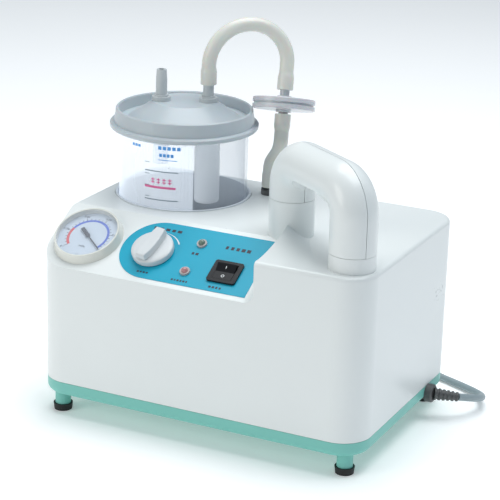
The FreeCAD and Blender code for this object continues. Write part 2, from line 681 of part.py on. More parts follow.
def lid():
    skirt = JAR_RADIUS + FIT_GAP + 0.2
    groove = JAR_RIM_HEIGHT + 1.9
    flange_low = JAR_RIM_HEIGHT - LID_OVERLAP
    flange_high = flange_low + LID_FLANGE_THICKNESS
    valley = groove + 3.6
    profile = [
        (0, PLATEAU_HEIGHT - LID_WALL), (PLATEAU_RADIUS - 1.1, PLATEAU_HEIGHT - LID_WALL),
        (44.6, groove + 1.2), (JAR_RADIUS - JAR_WALL - 2, groove), (skirt, groove), (skirt, flange_low),
        (LID_FLANGE_RADIUS - 0.6, flange_low), (LID_FLANGE_RADIUS, flange_low + 0.8),
        (LID_FLANGE_RADIUS, flange_high - 0.8), (LID_FLANGE_RADIUS - 0.8, flange_high),
        (LID_RIM_RADIUS + 1.4, flange_high + 0.4), (LID_RIM_RADIUS, LID_RIM_HEIGHT - 0.8),
        (LID_RIM_RADIUS - 0.8, LID_RIM_HEIGHT), (LID_RIM_RADIUS - 1.8, LID_RIM_HEIGHT),
        (LID_RIM_RADIUS - 2.4, LID_RIM_HEIGHT - 0.8), (LID_RIM_RADIUS - 2.9, valley),
        (46.5, valley), (PLATEAU_RADIUS, PLATEAU_HEIGHT), (0, PLATEAU_HEIGHT),
    ]
    cap = turned(profile, JAR_CENTRE)
    for place in (INLET, OUTLET):
        cap = cap.cut(cylinder(NECK_RADIUS + RUNNING_GAP, 12, vector(*place, PLATEAU_HEIGHT - 6)))
    save("lid", cap)
    seal_inner = JAR_RADIUS - JAR_WALL
    seal_low = JAR_RIM_HEIGHT + FIT_GAP
    save("lid_seal", ring(JAR_RADIUS, seal_inner, groove - seal_low, vector(*JAR_CENTRE, seal_low)))


def spigot_node(name, place, radius, top_radius, top):
    """A port screwed through the lid: a collar with a spigot above it and a neck below."""
    collar = cylinder(COLLAR_RADIUS, COLLAR_HEIGHT, vector(*place, PLATEAU_HEIGHT))
    step = cylinder(radius + 1.2, 1.5, vector(*place, PLATEAU_HEIGHT + COLLAR_HEIGHT))
    low = PLATEAU_HEIGHT + COLLAR_HEIGHT
    straight = 1.5 + SPIGOT_STRAIGHT
    spigot = cylinder(radius, straight, vector(*place, low))
    tip = cone(radius, top_radius, top - low - straight, vector(*place, low + straight))
    neck_low = TUBE_TOP - 8
    neck = cylinder(NECK_RADIUS, PLATEAU_HEIGHT - neck_low, vector(*place, neck_low))
    bore = cylinder(BORE_RADIUS, top - neck_low, vector(*place, neck_low))
    save(name, joined([collar, step, spigot, tip, neck]).cut(bore))


def lid_ports():
    spigot_node("inlet_nozzle", INLET, NOZZLE_RADIUS, NOZZLE_RADIUS - 0.5, NOZZLE_TOP)
    spigot_node("outlet_port", OUTLET, BARB_RADIUS, BARB_RADIUS - 0.2, LID_HOSE_END + CUFF_LENGTH - 3)
    tube_top = TUBE_TOP
    dip = ring(DIP_TUBE_RADIUS, NECK_RADIUS, tube_top - DIP_TUBE_BOTTOM, vector(*INLET, DIP_TUBE_BOTTOM))
    save("inlet_tube", dip)
    inner = CAGE_RADIUS - CAGE_WALL
    height = tube_top - CAGE_BOTTOM
    cage = cylinder(CAGE_RADIUS, height, vector(*OUTLET, CAGE_BOTTOM))
    low_edge = [e for e in cage.Edges if e.BoundBox.ZMax < CAGE_BOTTOM + 0.01]
    cage = cage.makeFillet(2.5, low_edge)
    cage = cage.cut(cylinder(inner, height - 2.5 - 12, vector(*OUTLET, CAGE_BOTTOM + 2.5)))
    cage = cage.cut(cylinder(NECK_RADIUS, height, vector(*OUTLET, CAGE_BOTTOM + 2.5)))
    holes = []
    for i in range(4):
        x = OUTLET[0] + 5 * math.cos(math.radians(90 * i))
        y = OUTLET[1] + 5 * math.sin(math.radians(90 * i))
        holes.append(cylinder(1.6, 6, vector(x, y, CAGE_BOTTOM - 1)))
    slots = [block((CAGE_RADIUS + 1, 3.0, 18), (OUTLET[0], OUTLET[1] - 1.5, tube_top - 34))]
    for angle in (120, 240):
        slot = slots[0].copy()
        slot.rotate(vector(*OUTLET, 0), UP, angle)
        slots.append(slot)
    save("float_cage", cage.cut(Part.makeCompound(holes)).cut(Part.makeCompound(slots)))
    low = CAGE_BOTTOM + 2.5 + FIT_GAP
    body = cylinder(inner - 0.6, FLOAT_LENGTH, vector(*OUTLET, low))
    tip = cone(4.6, 3.0, 3.0, vector(*OUTLET, low + FLOAT_LENGTH))
    save("float", joined([body, tip]))


# ---------------------------------------------------------------- hoses and filter

def filter_axis():
    tilt = math.radians(FILTER_TILT)
    heading = math.radians(FILTER_HEADING)
    return vector(math.sin(tilt) * math.cos(heading), math.sin(tilt) * math.sin(heading), math.cos(tilt))


def hose(points, share, end_share):
    """A hose with slightly stretched ends where it is pushed over its spigots."""
    shell = swept(points, HOSE_RADIUS, share, end_share)
    corners = [vector(*p) for p in points]
    for end, after in ((corners[0], corners[1]), (corners[-1], corners[-2])):
        direction = (after - end).normalize()
        straight = CUFF_LENGTH - 4
        shell = shell.fuse(cylinder(CUFF_RADIUS, straight, end, direction))
        shell = shell.fuse(cone(CUFF_RADIUS, HOSE_RADIUS, 4, end + direction * straight, direction))
    return shell


def hose_line():
    axis = filter_axis()
    centre = vector(*FILTER_CENTRE)
    half = FILTER_THICKNESS / 2
    halves = (("filter_top", 1, SPIGOT_SHOWING_TOP), ("filter_bottom", -1, SPIGOT_SHOWING_BOTTOM))
    for name, side, showing in halves:
        out = axis * side
        plate = cylinder(FILTER_RADIUS, half - 1.0, centre + out * 1.0, out)
        outer_edge = [e for e in plate.Edges if (e.CenterOfMass - centre).Length > half - 0.2]
        plate = plate.makeFillet(0.9, [e for e in outer_edge if e.Length > 100])
        lip_radius = FILTER_RADIUS - 1.2
        web = cylinder(lip_radius, 1.0, centre + out * 0.02, out)
        boss = cylinder(SPIGOT_RADIUS + 2.2, 2.0, centre + out * half, out)
        spigot = cylinder(SPIGOT_RADIUS, showing + CUFF_LENGTH - 3, centre + out * half, out)
        bore = cylinder(BORE_RADIUS, half + showing + CUFF_LENGTH, centre, out)
        save(name, joined([plate, web, boss, spigot]).cut(bore))
    top_end = centre + axis * (half + SPIGOT_SHOWING_TOP)
    low_end = centre - axis * (half + SPIGOT_SHOWING_BOTTOM)
    corner = centre + axis * ((HOSE_TOP - centre.z) / axis.z)
    arch = [(*OUTLET, LID_HOSE_END), (*OUTLET, HOSE_TOP), tuple(corner), tuple(top_end)]
    inner_lid = cylinder(BARB_RADIUS + FIT_GAP, CUFF_LENGTH, vector(*OUTLET, LID_HOSE_END))
    bore = swept(arch, HOSE_BORE_RADIUS, 0.49, 0.78)
    save("hose_arch", hose(arch, 0.49, 0.78).cut(bore).cut(inner_lid))
    bend_one = low_end - axis * 28.0
    bend_two = vector(*DECK_PORT, DECK_HOSE_END + 19.5)
    drop = [tuple(low_end), tuple(bend_one), tuple(bend_two), (*DECK_PORT, DECK_HOSE_END)]
    inner_deck = cylinder(BARB_RADIUS + FIT_GAP, CUFF_LENGTH, vector(*DECK_PORT, DECK_HOSE_END))
    bore = swept(drop, HOSE_BORE_RADIUS, 0.45, 0.25)
    save("lower_hose", hose(drop, 0.45, 0.25).cut(bore).cut(inner_deck))


def hexagon(radius, height, base):
    points = [base + vector(radius * math.cos(a), radius * math.sin(a), 0)
              for a in (math.radians(60 * i) for i in range(6))]
    return Part.Face(Part.makePolygon(points + points[:1])).extrude(vector(0, 0, height))


def deck_port():
    base = vector(*DECK_PORT, TOP_HEIGHT)
    flange = cylinder(DECK_NUT_RADIUS - 1.5, 4.5, base)
    barb = cylinder(BARB_RADIUS, DECK_HOSE_END + CUFF_LENGTH - 3 - TOP_HEIGHT, base)
    tail = cylinder(4.0, PORT_TAIL, base - UP * PORT_TAIL)
    bore = cylinder(BORE_RADIUS, 60, base - UP * PORT_TAIL)
    save("vacuum_port", joined([flange, barb, tail]).cut(bore))
    nut_low = base - UP * (COVER_WALL + 4.0)
    save("port_nut", hexagon(DECK_NUT_RADIUS, 4.0, nut_low).cut(cylinder(4.0, 4.0, nut_low)))


# ---------------------------------------------------------------- motor and pump

def along(x):
    return vector(x, MOTOR_AXIS[0], MOTOR_AXIS[1])


def motor():
    end = STATOR_START + STATOR_LENGTH
    stator = ring(STATOR_RADIUS, ROTOR_RADIUS + AIR_GAP, STATOR_LENGTH, along(STATOR_START), ALONG_X)
    slots = []
    for i in range(12):
        angle = math.radians(30 * i)
        radius = ROTOR_RADIUS + 7
        y = MOTOR_AXIS[0] + radius * math.cos(angle)
        z = MOTOR_AXIS[1] + radius * math.sin(angle)
        slots.append(cylinder(3.2, STATOR_LENGTH, vector(STATOR_START, y, z), ALONG_X))
    save("motor_stator", stator.cut(Part.makeCompound(slots)))
    coil_length = 8.0
    coils = [ring(STATOR_RADIUS - 6, ROTOR_RADIUS + 3, coil_length, along(x), ALONG_X)
             for x in (STATOR_START - coil_length, end)]
    rounded = [coil.makeFillet(2.5, [e for e in coil.Edges if e.Length > 30]) for coil in coils]
    save("motor_windings", *rounded)
    bells = []
    front = STATOR_START - BELL_DEPTH
    for x, closed in ((front, front), (end, end + BELL_DEPTH - 3)):
        bell = cylinder(STATOR_RADIUS, BELL_DEPTH, along(x), ALONG_X)
        room_start = closed + 3 if closed < x + 1 else x
        bell = bell.cut(cylinder(STATOR_RADIUS - 2.5, BELL_DEPTH - 3, along(room_start), ALONG_X))
        seat_start = x if closed < x + 1 else x + BELL_DEPTH - BEARING_WIDTH
        bell = bell.fuse(cylinder(BEARING_RADIUS + 3, BEARING_WIDTH, along(seat_start), ALONG_X))
        bell = bell.cut(cylinder(BEARING_RADIUS, BELL_DEPTH, along(x), ALONG_X))
        vents = []
        for i in range(6):
            angle = math.radians(60 * i + 30)
            y = MOTOR_AXIS[0] + 25 * math.cos(angle)
            z = MOTOR_AXIS[1] + 25 * math.sin(angle)
            vents.append(cylinder(4.0, 4.0, vector(closed - 0.5, y, z), ALONG_X))
        bells.append(bell.cut(Part.makeCompound(vents)))
    save("motor_end_bells", *bells)
    bore = SHAFT_RADIUS + RUNNING_GAP
    bearings = [ring(BEARING_RADIUS, bore, BEARING_WIDTH, along(x), ALONG_X)
                for x in (front, REAR_BELL_END - BEARING_WIDTH)]
    save("motor_bearings", *bearings)
    shaft_end = REAR_BELL_END + 10.5
    save("motor_shaft", cylinder(SHAFT_RADIUS, shaft_end - SHAFT_START, along(SHAFT_START), ALONG_X))
    save("rotor_core", ring(ROTOR_RADIUS, SHAFT_RADIUS, STATOR_LENGTH, along(STATOR_START), ALONG_X))
    fan_start = REAR_BELL_END + 2.0
    hub = cylinder(9, 7.5, along(fan_start), ALONG_X)
    disc = cylinder(FAN_RADIUS, 1.5, along(fan_start), ALONG_X)
    blades = []
    for i in range(FAN_BLADES):
        low_corner = (fan_start, MOTOR_AXIS[0] + 7, MOTOR_AXIS[1] - 0.75)
        blade = block((7.5, FAN_RADIUS - 7.5, 1.5), low_corner)
        blade.rotate(along(fan_start), ALONG_X, 360.0 / FAN_BLADES * i)
        blades.append(blade)
    fan = joined([hub, disc] + blades)
    save("cooling_fan", fan.cut(cylinder(SHAFT_RADIUS, 12, along(fan_start - 1), ALONG_X)))


def crank_and_rod():
    start = PUMP_X - CRANK_WIDTH / 2
    crank_centre = vector(start, MOTOR_AXIS[0], CRANK_HEIGHT)
    crank = cylinder(CRANK_RADIUS, CRANK_WIDTH, crank_centre, ALONG_X)
    save("eccentric", crank.cut(cylinder(SHAFT_RADIUS, CRANK_WIDTH, along(start), ALONG_X)))
    margin = 0.5
    big_end = cylinder(CRANK_RADIUS + ROD_WALL, CRANK_WIDTH - 2 * margin,
                       crank_centre + ALONG_X * margin, ALONG_X)
    top = DIAPHRAGM_HEIGHT - FIT_GAP
    arm_low = CRANK_HEIGHT + CRANK_RADIUS
    arm_corner = (start + margin, MOTOR_AXIS[0] - 4, arm_low)
    arm = block((CRANK_WIDTH - 2 * margin, 8, top - arm_low), arm_corner)
    plate = cylinder(11, 3, vector(PUMP_X, MOTOR_AXIS[0], top - 3))
    rod = joined([big_end, arm, plate])
    bore = cylinder(CRANK_RADIUS + RUNNING_GAP, CRANK_WIDTH, crank_centre, ALONG_X)
    save("connecting_rod", rod.cut(bore))


def pump():
    y = MOTOR_AXIS[0]
    centre = (PUMP_X, y)
    width = 2 * DIAPHRAGM_RADIUS + 6
    depth = 22.0
    plate_top = PLATE_HEIGHT + PLATE_THICKNESS
    ring_low = DIAPHRAGM_HEIGHT - 8
    cheeks = [block((depth, 6, ring_low + 4 - plate_top), (PUMP_X - depth / 2, side, plate_top))
              for side in (y - width / 2, y + width / 2 - 6)]
    table = rounded_block(depth, width, 8, 3, centre, ring_low)
    table = table.fuse(cylinder(DIAPHRAGM_RADIUS + 2, 8, vector(*centre, ring_low)))
    housing = joined([table] + cheeks)
    housing = housing.cut(cylinder(PUMP_BORE_RADIUS, 20, vector(*centre, ring_low - 5)))
    save("pump_housing", housing)
    save("diaphragm", cylinder(DIAPHRAGM_RADIUS, DIAPHRAGM_THICKNESS, vector(*centre, DIAPHRAGM_HEIGHT)))
    valve_low = DIAPHRAGM_HEIGHT + DIAPHRAGM_THICKNESS
    valve_plate = cylinder(DIAPHRAGM_RADIUS + 1, 4, vector(*centre, valve_low))
    ports = [cylinder(2.0, 4, vector(PUMP_X + dx, y, valve_low)) for dx in (-9, 9)]
    save("valve_plate", valve_plate.cut(Part.makeCompound(ports)))
    head_low = valve_low + 4
    head = cylinder(DIAPHRAGM_RADIUS + 1, 14, vector(*centre, head_low))
    top_edge = [e for e in head.Edges if e.BoundBox.ZMin > head_low + 13.9]
    head = head.makeFillet(3.0, top_edge)
    rooms = [block((16, 20, 9), (PUMP_X + dx, y - 10, head_low)) for dx in (-18, 2)]
    spout_start = PUMP_X - DIAPHRAGM_RADIUS - 10
    spout = cylinder(3.0, 14, vector(spout_start, y, head_low + 6), ALONG_X)
    bore = cylinder(1.6, 22, vector(spout_start, y, head_low + 6), ALONG_X)
    save("pump_head", joined([head, spout]).cut(Part.makeCompound(rooms)).cut(bore))
    tube_z = head_low + 6
    tube_start = TOP_HEIGHT - COVER_WALL - 5.0
    route = [(*DECK_PORT, tube_start), (*DECK_PORT, tube_z), (DECK_PORT[0] + 6, y, tube_z),
             (spout_start + 5, y, tube_z)]
    tube = swept(route, 5.6).cut(swept(route, 3.0))
    tube = tube.cut(cylinder(4.0, PORT_TAIL, vector(*DECK_PORT, TOP_HEIGHT - PORT_TAIL)))
    spout_room = cylinder(3.0, 14, vector(spout_start, y, tube_z), ALONG_X)
    save("inner_vacuum_tube", tube.cut(spout_room))


def mounting_plate():
    y, z = MOTOR_AXIS
    plate = rounded_block(98, 86, PLATE_THICKNESS, 4, (78, y), PLATE_HEIGHT)
    top = PLATE_HEIGHT + PLATE_THICKNESS
    saddles = [block((8, 40, 18), (x, y - 20, top - 0.5)) for x in (STATOR_START + 3, STATOR_START + 25)]
    plate = joined([plate] + saddles)
    plate = plate.cut(cylinder(STATOR_RADIUS, STATOR_LENGTH, along(STATOR_START), ALONG_X))
    places = [(78 + sx * 42, y + sy * 36) for sx in (-1, 1) for sy in (-1, 1)]
    save("mounting_plate", plate)
    low = TRAY_BOTTOM + TRAY_FLOOR
    dampers = []
    for place in places:
        height = PLATE_HEIGHT - low
        damper = cylinder(6.0, height, vector(*place, low))
        groove = ring(7.0, 4.5, height - 6, vector(*place, low + 3))
        dampers.append(damper.cut(groove))
    save("rubber_mounts", *dampers)


def fuse_hole():
    x, z = FUSE_PLACE
    start = vector(x, BODY_WIDTH / 2 - 8, z)
    return cylinder(FUSE_CAP_RADIUS + FIT_GAP, 12, start, ALONG_Y)


def fuse_holder():
    back = BODY_WIDTH / 2
    x, z = FUSE_PLACE
    inside = back - COVER_WALL
    cap = cylinder(FUSE_CAP_RADIUS, COVER_WALL, vector(x, inside, z), ALONG_Y)
    collar = cylinder(FUSE_CAP_RADIUS + 3, 3, vector(x, inside - 3, z), ALONG_Y)
    barrel = cylinder(5.2, 34, vector(x, inside - 34, z), ALONG_Y)
    slot = block((9, 2.0, 1.6), (x - 4.5, back - 1.5, z - 0.8))
    holder = joined([cap, collar, barrel]).cut(slot)
    save("fuse_holder", holder)


# ---------------------------------------------------------------- mains lead

def mains_lead():
    y, z = GLAND_PLACE
    face = BODY_LENGTH / 2
    flange = cylinder(GLAND_RADIUS, GLAND_LENGTH, vector(face, y, z), ALONG_X)
    outer_edge = [e for e in flange.Edges if e.BoundBox.XMin > face + GLAND_LENGTH - 0.01]
    flange = flange.makeFillet(1.5, outer_edge)
    shank = cylinder(GLAND_RADIUS - 1.8, 12, vector(face - 12, y, z), ALONG_X)
    save("cable_gland", joined([flange, shank]))
    start = vector(face + GLAND_LENGTH, y, z)
    end = vector(*RELIEF_END)
    direction = end - start
    relief = cone(5.2, CORD_DIAMETER / 2 + 0.7, direction.Length, start, direction)
    save("strain_relief", relief)
    tube = swept(CORD_ROUTE, CORD_DIAMETER / 2, report="mains lead")
    save("power_cord", tube)
    middle = vector(*COIL_CENTRE, 0)
    half_band = COIL_BAND / 2
    outer = COIL_MIDDLE_RADIUS + half_band
    inner = COIL_MIDDLE_RADIUS - half_band
    save("cord_coil", ring(outer, inner, COIL_HEIGHT, middle))


def plug():
    """A plug lying beside the coil, with the short tail of cord that joins the two."""
    rear = vector(*PLUG_REAR)
    direction = vector(-1, 0, 0)
    tail = vector(*COIL_EXIT) - rear
    cord = cylinder(CORD_DIAMETER / 2, tail.Length, rear, tail)
    neck = cone(3.6, 5.5, PLUG_NECK, rear, direction)
    low_x = rear.x - PLUG_LENGTH
    low_corner = (low_x, rear.y - PLUG_WIDTH / 2, 0)
    body = block((PLUG_LENGTH - PLUG_NECK, PLUG_WIDTH, PLUG_HEIGHT), low_corner)
    body = body.makeFillet(4.0, [e for e in body.Edges if abs(e.tangentAt(e.FirstParameter).x) > 0.9])
    pins = []
    for side in (-1, 1):
        root = vector(low_x + 4, rear.y + side * PIN_SPACING / 2, rear.z)
        pins.append(cylinder(PIN_RADIUS, PIN_LENGTH + 4, root, direction))
    save("plug", joined([cord, neck, body] + pins))


def main():
    os.makedirs("parts", exist_ok=True)
    base_tray()
    rubber_feet()
    case_screws()
    top_cover()
    jar_well()
    handle_shells()
    control_label()
    gauge()
    knob_and_valve()
    rocker_switch()
    lamps()
    jar()
    lid()
    lid_ports()
    hose_line()
    deck_port()
    motor()
    crank_and_rod()
    pump()
    mounting_plate()
    fuse_holder()
    mains_lead()
    plug()


main()
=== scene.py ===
import json
import math

import bpy
from mathutils import Matrix, Vector


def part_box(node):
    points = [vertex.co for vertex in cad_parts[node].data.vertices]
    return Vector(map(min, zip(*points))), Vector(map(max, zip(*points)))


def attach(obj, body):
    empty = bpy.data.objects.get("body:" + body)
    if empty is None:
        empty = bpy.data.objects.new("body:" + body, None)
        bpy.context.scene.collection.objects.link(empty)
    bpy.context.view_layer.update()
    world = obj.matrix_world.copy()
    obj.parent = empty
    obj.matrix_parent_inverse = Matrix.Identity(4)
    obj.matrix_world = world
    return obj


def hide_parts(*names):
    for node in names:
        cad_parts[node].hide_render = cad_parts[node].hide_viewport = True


# Looks for the suction pump. Metres, +Z up, +X along the front face to the right, +Y to the back.

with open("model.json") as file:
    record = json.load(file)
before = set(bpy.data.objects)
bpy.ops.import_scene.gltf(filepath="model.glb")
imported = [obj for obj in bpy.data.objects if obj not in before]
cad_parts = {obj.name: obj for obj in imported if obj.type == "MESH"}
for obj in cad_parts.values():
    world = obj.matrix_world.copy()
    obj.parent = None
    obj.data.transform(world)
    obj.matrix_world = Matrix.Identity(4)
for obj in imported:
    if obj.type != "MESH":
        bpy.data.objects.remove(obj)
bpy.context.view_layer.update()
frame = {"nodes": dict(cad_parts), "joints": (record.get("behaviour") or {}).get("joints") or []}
nodes = frame["nodes"]
joints = {joint["name"]: joint for joint in frame["joints"]}

MM = 0.001

# ---- where things are, read from the frame ----
GAUGE_CENTRE = Vector(joints["needle_sweep"]["pos_m"])
KNOB_CENTRE = Vector(joints["knob_turn"]["pos_m"])
ROCKER_PIVOT = Vector(joints["rocker_tilt"]["pos_m"])
FACE_NORMAL = Vector(joints["knob_turn"]["axis"])
FACE_TILT = math.atan2(-FACE_NORMAL.y, FACE_NORMAL.z)
JAR_LOW, JAR_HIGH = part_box("jar")
JAR_CENTRE = (JAR_LOW + JAR_HIGH) / 2
JAR_RADIUS = (JAR_HIGH.x - JAR_LOW.x) / 2

# ---- mains lead: the same route as the solid one, then the turns of its coil ----
CORD_DIAMETER = 6.0 * MM
CORD_ROUTE = (
    (163.2, 56.4, 18.8),
    (171.8, 67.8, 15.2),
    (174.6, 82.2, 10.6),
    (170.6, 96.6, 6.2),
    (160.0, 108.2, 3.6),
    (142.8, 117.4, 3.1),
    (118.0, 127.5, 3.1),
    (97.0, 145.0, 3.1),
    (82.0, 166.0, 3.1),
    (67.0, 184.0, 3.1),
    (50.0, 192.8, 3.1),
    (33.9, 195.6, 3.1),
)
COIL_CENTRE = (26.0, 151.0)
COIL_RADII = (45.3, 39.1, 32.9, 26.7)
COIL_START = 80.0
COIL_LOW = 3.1
COIL_HIGH = 9.3
COIL_STEPS = 18
PLUG_TAIL = (
    (39.6, 194.6, 9.2),
    (29.5, 200.4, 8.8),
    (18.5, 203.0, 7.7),
    (8.0, 203.3, 7.5),
)
PLUG_REAR = Vector(PLUG_TAIL[-1]) * MM
GLAND_END = Vector((146.0, 47.0, 21.5)) * MM
SLEEVE_RIBS = 5
SLEEVE_ROOT_RADIUS = 5.2 * MM
SLEEVE_TIP_RADIUS = 3.8 * MM
PLUG_NECK = 14.0 * MM
PLUG_LENGTH = 46.0 * MM
PLUG_WIDTH = 24.0 * MM
PLUG_HEIGHT = 15.0 * MM


# ------------------------------------------------------------------ shader maths

class Value:
    """A node's output that can be used in sums; each sum adds one Math node."""

    def __init__(self, paint, socket):
        self.paint = paint
        self.socket = socket

    def sum(self, operation, first, second):
        return self.paint.node("ShaderNodeMath", {"operation": operation}, {0: first, 1: second})

    def __add__(self, other):
        return self.sum("ADD", self, other)

    def __radd__(self, other):
        return self.sum("ADD", other, self)

    def __sub__(self, other):
        return self.sum("SUBTRACT", self, other)

    def __rsub__(self, other):
        return self.sum("SUBTRACT", other, self)

    def __mul__(self, other):
        return self.sum("MULTIPLY", self, other)

    def __rmul__(self, other):
        return self.sum("MULTIPLY", other, self)

    def __pow__(self, other):
        return self.sum("POWER", self, other)

class Paint:
    """One material and its nodes. Constants go on the shader's own sockets."""

    def __init__(self, name, **constants):
        self.material = bpy.data.materials.new(name)
        self.material.use_nodes = True
        self.tree = self.material.node_tree
        self.shader = next(n for n in self.tree.nodes if n.type == "BSDF_PRINCIPLED")
        for socket, value in constants.items():
            self.shader.inputs[socket.replace("_", " ")].default_value = value
        self.place = self.node("ShaderNodeTexCoord", output="Object")

    def node(self, kind, settings=None, inputs=None, output=0):
        """Adds a node: its settings come first, then the values or links of its sockets."""
        new = self.tree.nodes.new(kind)
        for key, value in (settings or {}).items():
            setattr(new, key, value)
        for key, value in (inputs or {}).items():
            if isinstance(value, Value):
                self.tree.links.new(value.socket, new.inputs[key])
            else:
                new.inputs[key].default_value = value
        return Value(self, new.outputs[output])

    def parts(self):
        """The X, Y and Z of the place on the piece, in metres."""
        return [self.node("ShaderNodeSeparateXYZ", None, {0: self.place}, axis) for axis in range(3)]

    def noise(self, scale, detail=2.0, roughness=0.5, stretch=None):
        vector = self.place
        if stretch:
            vector = self.node("ShaderNodeMapping", None, {"Vector": vector, "Scale": stretch})
        return self.node("ShaderNodeTexNoise", None, {
            "Vector": vector, "Scale": scale, "Detail": detail, "Roughness": roughness})

    def mix(self, factor, first, second):
        return self.node("ShaderNodeMix", {"data_type": "RGBA"}, {0: factor, 6: first, 7: second}, 2)

    def feed(self, socket, value):
        if isinstance(value, Value):
            self.tree.links.new(value.socket, self.shader.inputs[socket])
        else:
            self.shader.inputs[socket].default_value = value

    def bump(self, height, strength, depth):
        """Small relief: depth is in metres."""
        self.feed("Normal", self.node("ShaderNodeBump", None, {
            "Strength": strength, "Distance": depth, "Height": height}))

def shade(colour, factor):
    return (*(min(1.0, c * factor) for c in colour[:3]), 1.0)


def moulded(name, colour, roughness, grain=1300.0, relief=0.04, cloud=0.02, **constants):
    """Injection-moulded plastic: a fine grain and faint clouds of colour and gloss."""
    paint = Paint(name, **constants)
    clouds = paint.noise(9.0, 3.0)
    flecks = paint.noise(420.0, 2.0)
    tint = paint.mix(clouds, shade(colour, 1.0 - cloud), shade(colour, 1.0 + cloud))
    paint.feed("Base Color", paint.mix(flecks * 0.04, tint, shade(colour, 0.93)))
    paint.feed("Roughness", roughness + (clouds - 0.5) * 0.10 + (flecks - 0.5) * 0.03)
    paint.bump(paint.noise(grain, 1.0), relief, 0.00004)
    return paint.material


def brushed(name, colour, roughness, direction, relief=0.2):
    """Machined or drawn metal, with fine lines along one way."""
    paint = Paint(name, Metallic=1.0)
    lines = paint.noise(700.0, 3.0, 0.6, direction)
    stains = paint.noise(60.0, 3.0)
    paint.feed("Base Color", paint.mix(stains, shade(colour, 0.82), shade(colour, 1.08)))
    paint.feed("Roughness", roughness + (lines - 0.5) * 0.25)
    paint.bump(lines, relief, 0.00003)
    return paint.material


def rubber(name, colour, roughness):
    """Matt rubber with a fine grain and a little dust."""
    paint = Paint(name)
    dust = paint.noise(35.0, 4.0, 0.7)
    grain = paint.noise(1500.0, 2.0)
    paint.feed("Base Color", paint.mix(dust ** 3, shade(colour, 1.0), shade(colour, 2.2)))
    paint.feed("Roughness", roughness + (dust - 0.5) * 0.2)
    paint.bump(grain, 0.35, 0.00006)
    return paint.material


def cast_metal(name, colour):
    """Die-cast metal as it leaves the mould, with a rough skin and faint stains."""
    paint = Paint(name, Metallic=1.0)
    skin = paint.noise(900.0, 3.0, 0.65)
    stains = paint.noise(45.0, 3.0)
    paint.feed("Base Color", paint.mix(stains, shade(colour, 0.75), shade(colour, 1.05)))
    paint.feed("Roughness", 0.45 + (skin - 0.5) * 0.3)
    paint.bump(skin, 0.5, 0.00010)
    return paint.material


def laminations(name):
    """Stacked sheets, each half a millimetre, seen on their edges along X."""
    paint = Paint(name, Metallic=0.9)
    x = paint.parts()[0]
    sheets = paint.node("ShaderNodeMath", {"operation": "PINGPONG"}, {0: x, 1: 0.00035}) * 2800.0
    paint.feed("Base Color", paint.mix(sheets, (0.12, 0.12, 0.13, 1), (0.34, 0.34, 0.36, 1)))
    paint.feed("Roughness", 0.42 + sheets * 0.15)
    paint.bump(sheets, 0.6, 0.0002)
    return paint.material


def winding(name):
    """Enamelled wire, wound side by side."""
    paint = Paint(name, Coat_Weight=0.6)
    y, z = paint.parts()[1:]
    turns = paint.node("ShaderNodeMath", {"operation": "PINGPONG"}, {0: y + z * 0.4, 1: 0.0004}) * 2500.0
    paint.feed("Base Color", paint.mix(turns, (0.20, 0.06, 0.02, 1), (0.68, 0.27, 0.11, 1)))
    paint.feed("Metallic", 0.5 + turns * 0.4)
    paint.feed("Roughness", 0.30 + turns * 0.1)
    paint.bump(turns, 0.7, 0.0003)
    return paint.material


def clear_plastic(name, colour, alpha, edge, roughness=0.06, **constants):
    """Clear plastic: nearly nothing seen straight through, more where it is seen edge on."""
    paint = Paint(name, IOR=1.5, **constants)
    facing = paint.node("ShaderNodeLayerWeight", None, {"Blend": 0.35}, "Facing")
    smears = paint.noise(28.0, 3.0)
    paint.feed("Base Color", paint.mix(smears, shade(colour, 0.97), shade(colour, 1.03)))
    paint.feed("Alpha", alpha + facing ** 2.5 * edge + (smears - 0.5) * 0.02)
    paint.feed("Roughness", roughness + smears * 0.05)
    paint.bump(paint.noise(60.0, 1.0), 0.05, 0.0002)
    return paint.material


def silicone_hose(name, colour):
    """Milky silicone with faint lines along the tube from its drawing."""
    paint = Paint(name, Subsurface_Weight=0.25, Subsurface_Scale=0.004)
    milk = paint.noise(30.0, 3.0)
    lines = paint.noise(300.0, 2.0, 0.5, (1.0, 1.0, 0.08))
    paint.feed("Base Color", paint.mix(milk, shade(colour, 0.95), shade(colour, 1.04)))
    paint.feed("Roughness", 0.30 + (milk - 0.5) * 0.12)
    paint.bump(lines, 0.15, 0.00008)
    return paint.material


def printed_film(name, colour, roughness=0.32):
    """A printed plastic film: an even colour with the faint orange-peel of its lacquer."""
    paint = Paint(name, Coat_Weight=0.06, Coat_Roughness=0.15, Specular_IOR_Level=0.25)
    even = paint.noise(14.0, 2.0)
    peel = paint.noise(650.0, 1.0)
    paint.feed("Base Color", paint.mix(even, shade(colour, 0.97), shade(colour, 1.04)))
    paint.feed("Roughness", roughness + (peel - 0.5) * 0.08)
    paint.bump(peel, 0.10, 0.00003)
    return paint.material


def ink(name, colour):
    """Screen-printed ink, a little uneven in its cover."""
    paint = Paint(name)
    cover = paint.noise(900.0, 2.0)
    paint.feed("Base Color", paint.mix(cover, shade(colour, 0.85), shade(colour, 1.1)))
    paint.feed("Roughness", 0.45 + (cover - 0.5) * 0.1)
    return paint.material


def lamp_plastic(name, colour, glow):
    """A coloured lens with fine flutes."""
    paint = Paint(name, Emission_Strength=glow, Coat_Weight=0.5, Coat_Roughness=0.05)
    flutes = paint.noise(1200.0, 1.0)
    paint.feed("Base Color", paint.mix(flutes, shade(colour, 0.8), shade(colour, 1.1)))
    paint.feed("Emission Color", shade(colour, 1.0))
    paint.feed("Roughness", 0.15 + flutes * 0.1)
    paint.bump(flutes, 0.3, 0.0001)
    return paint.material


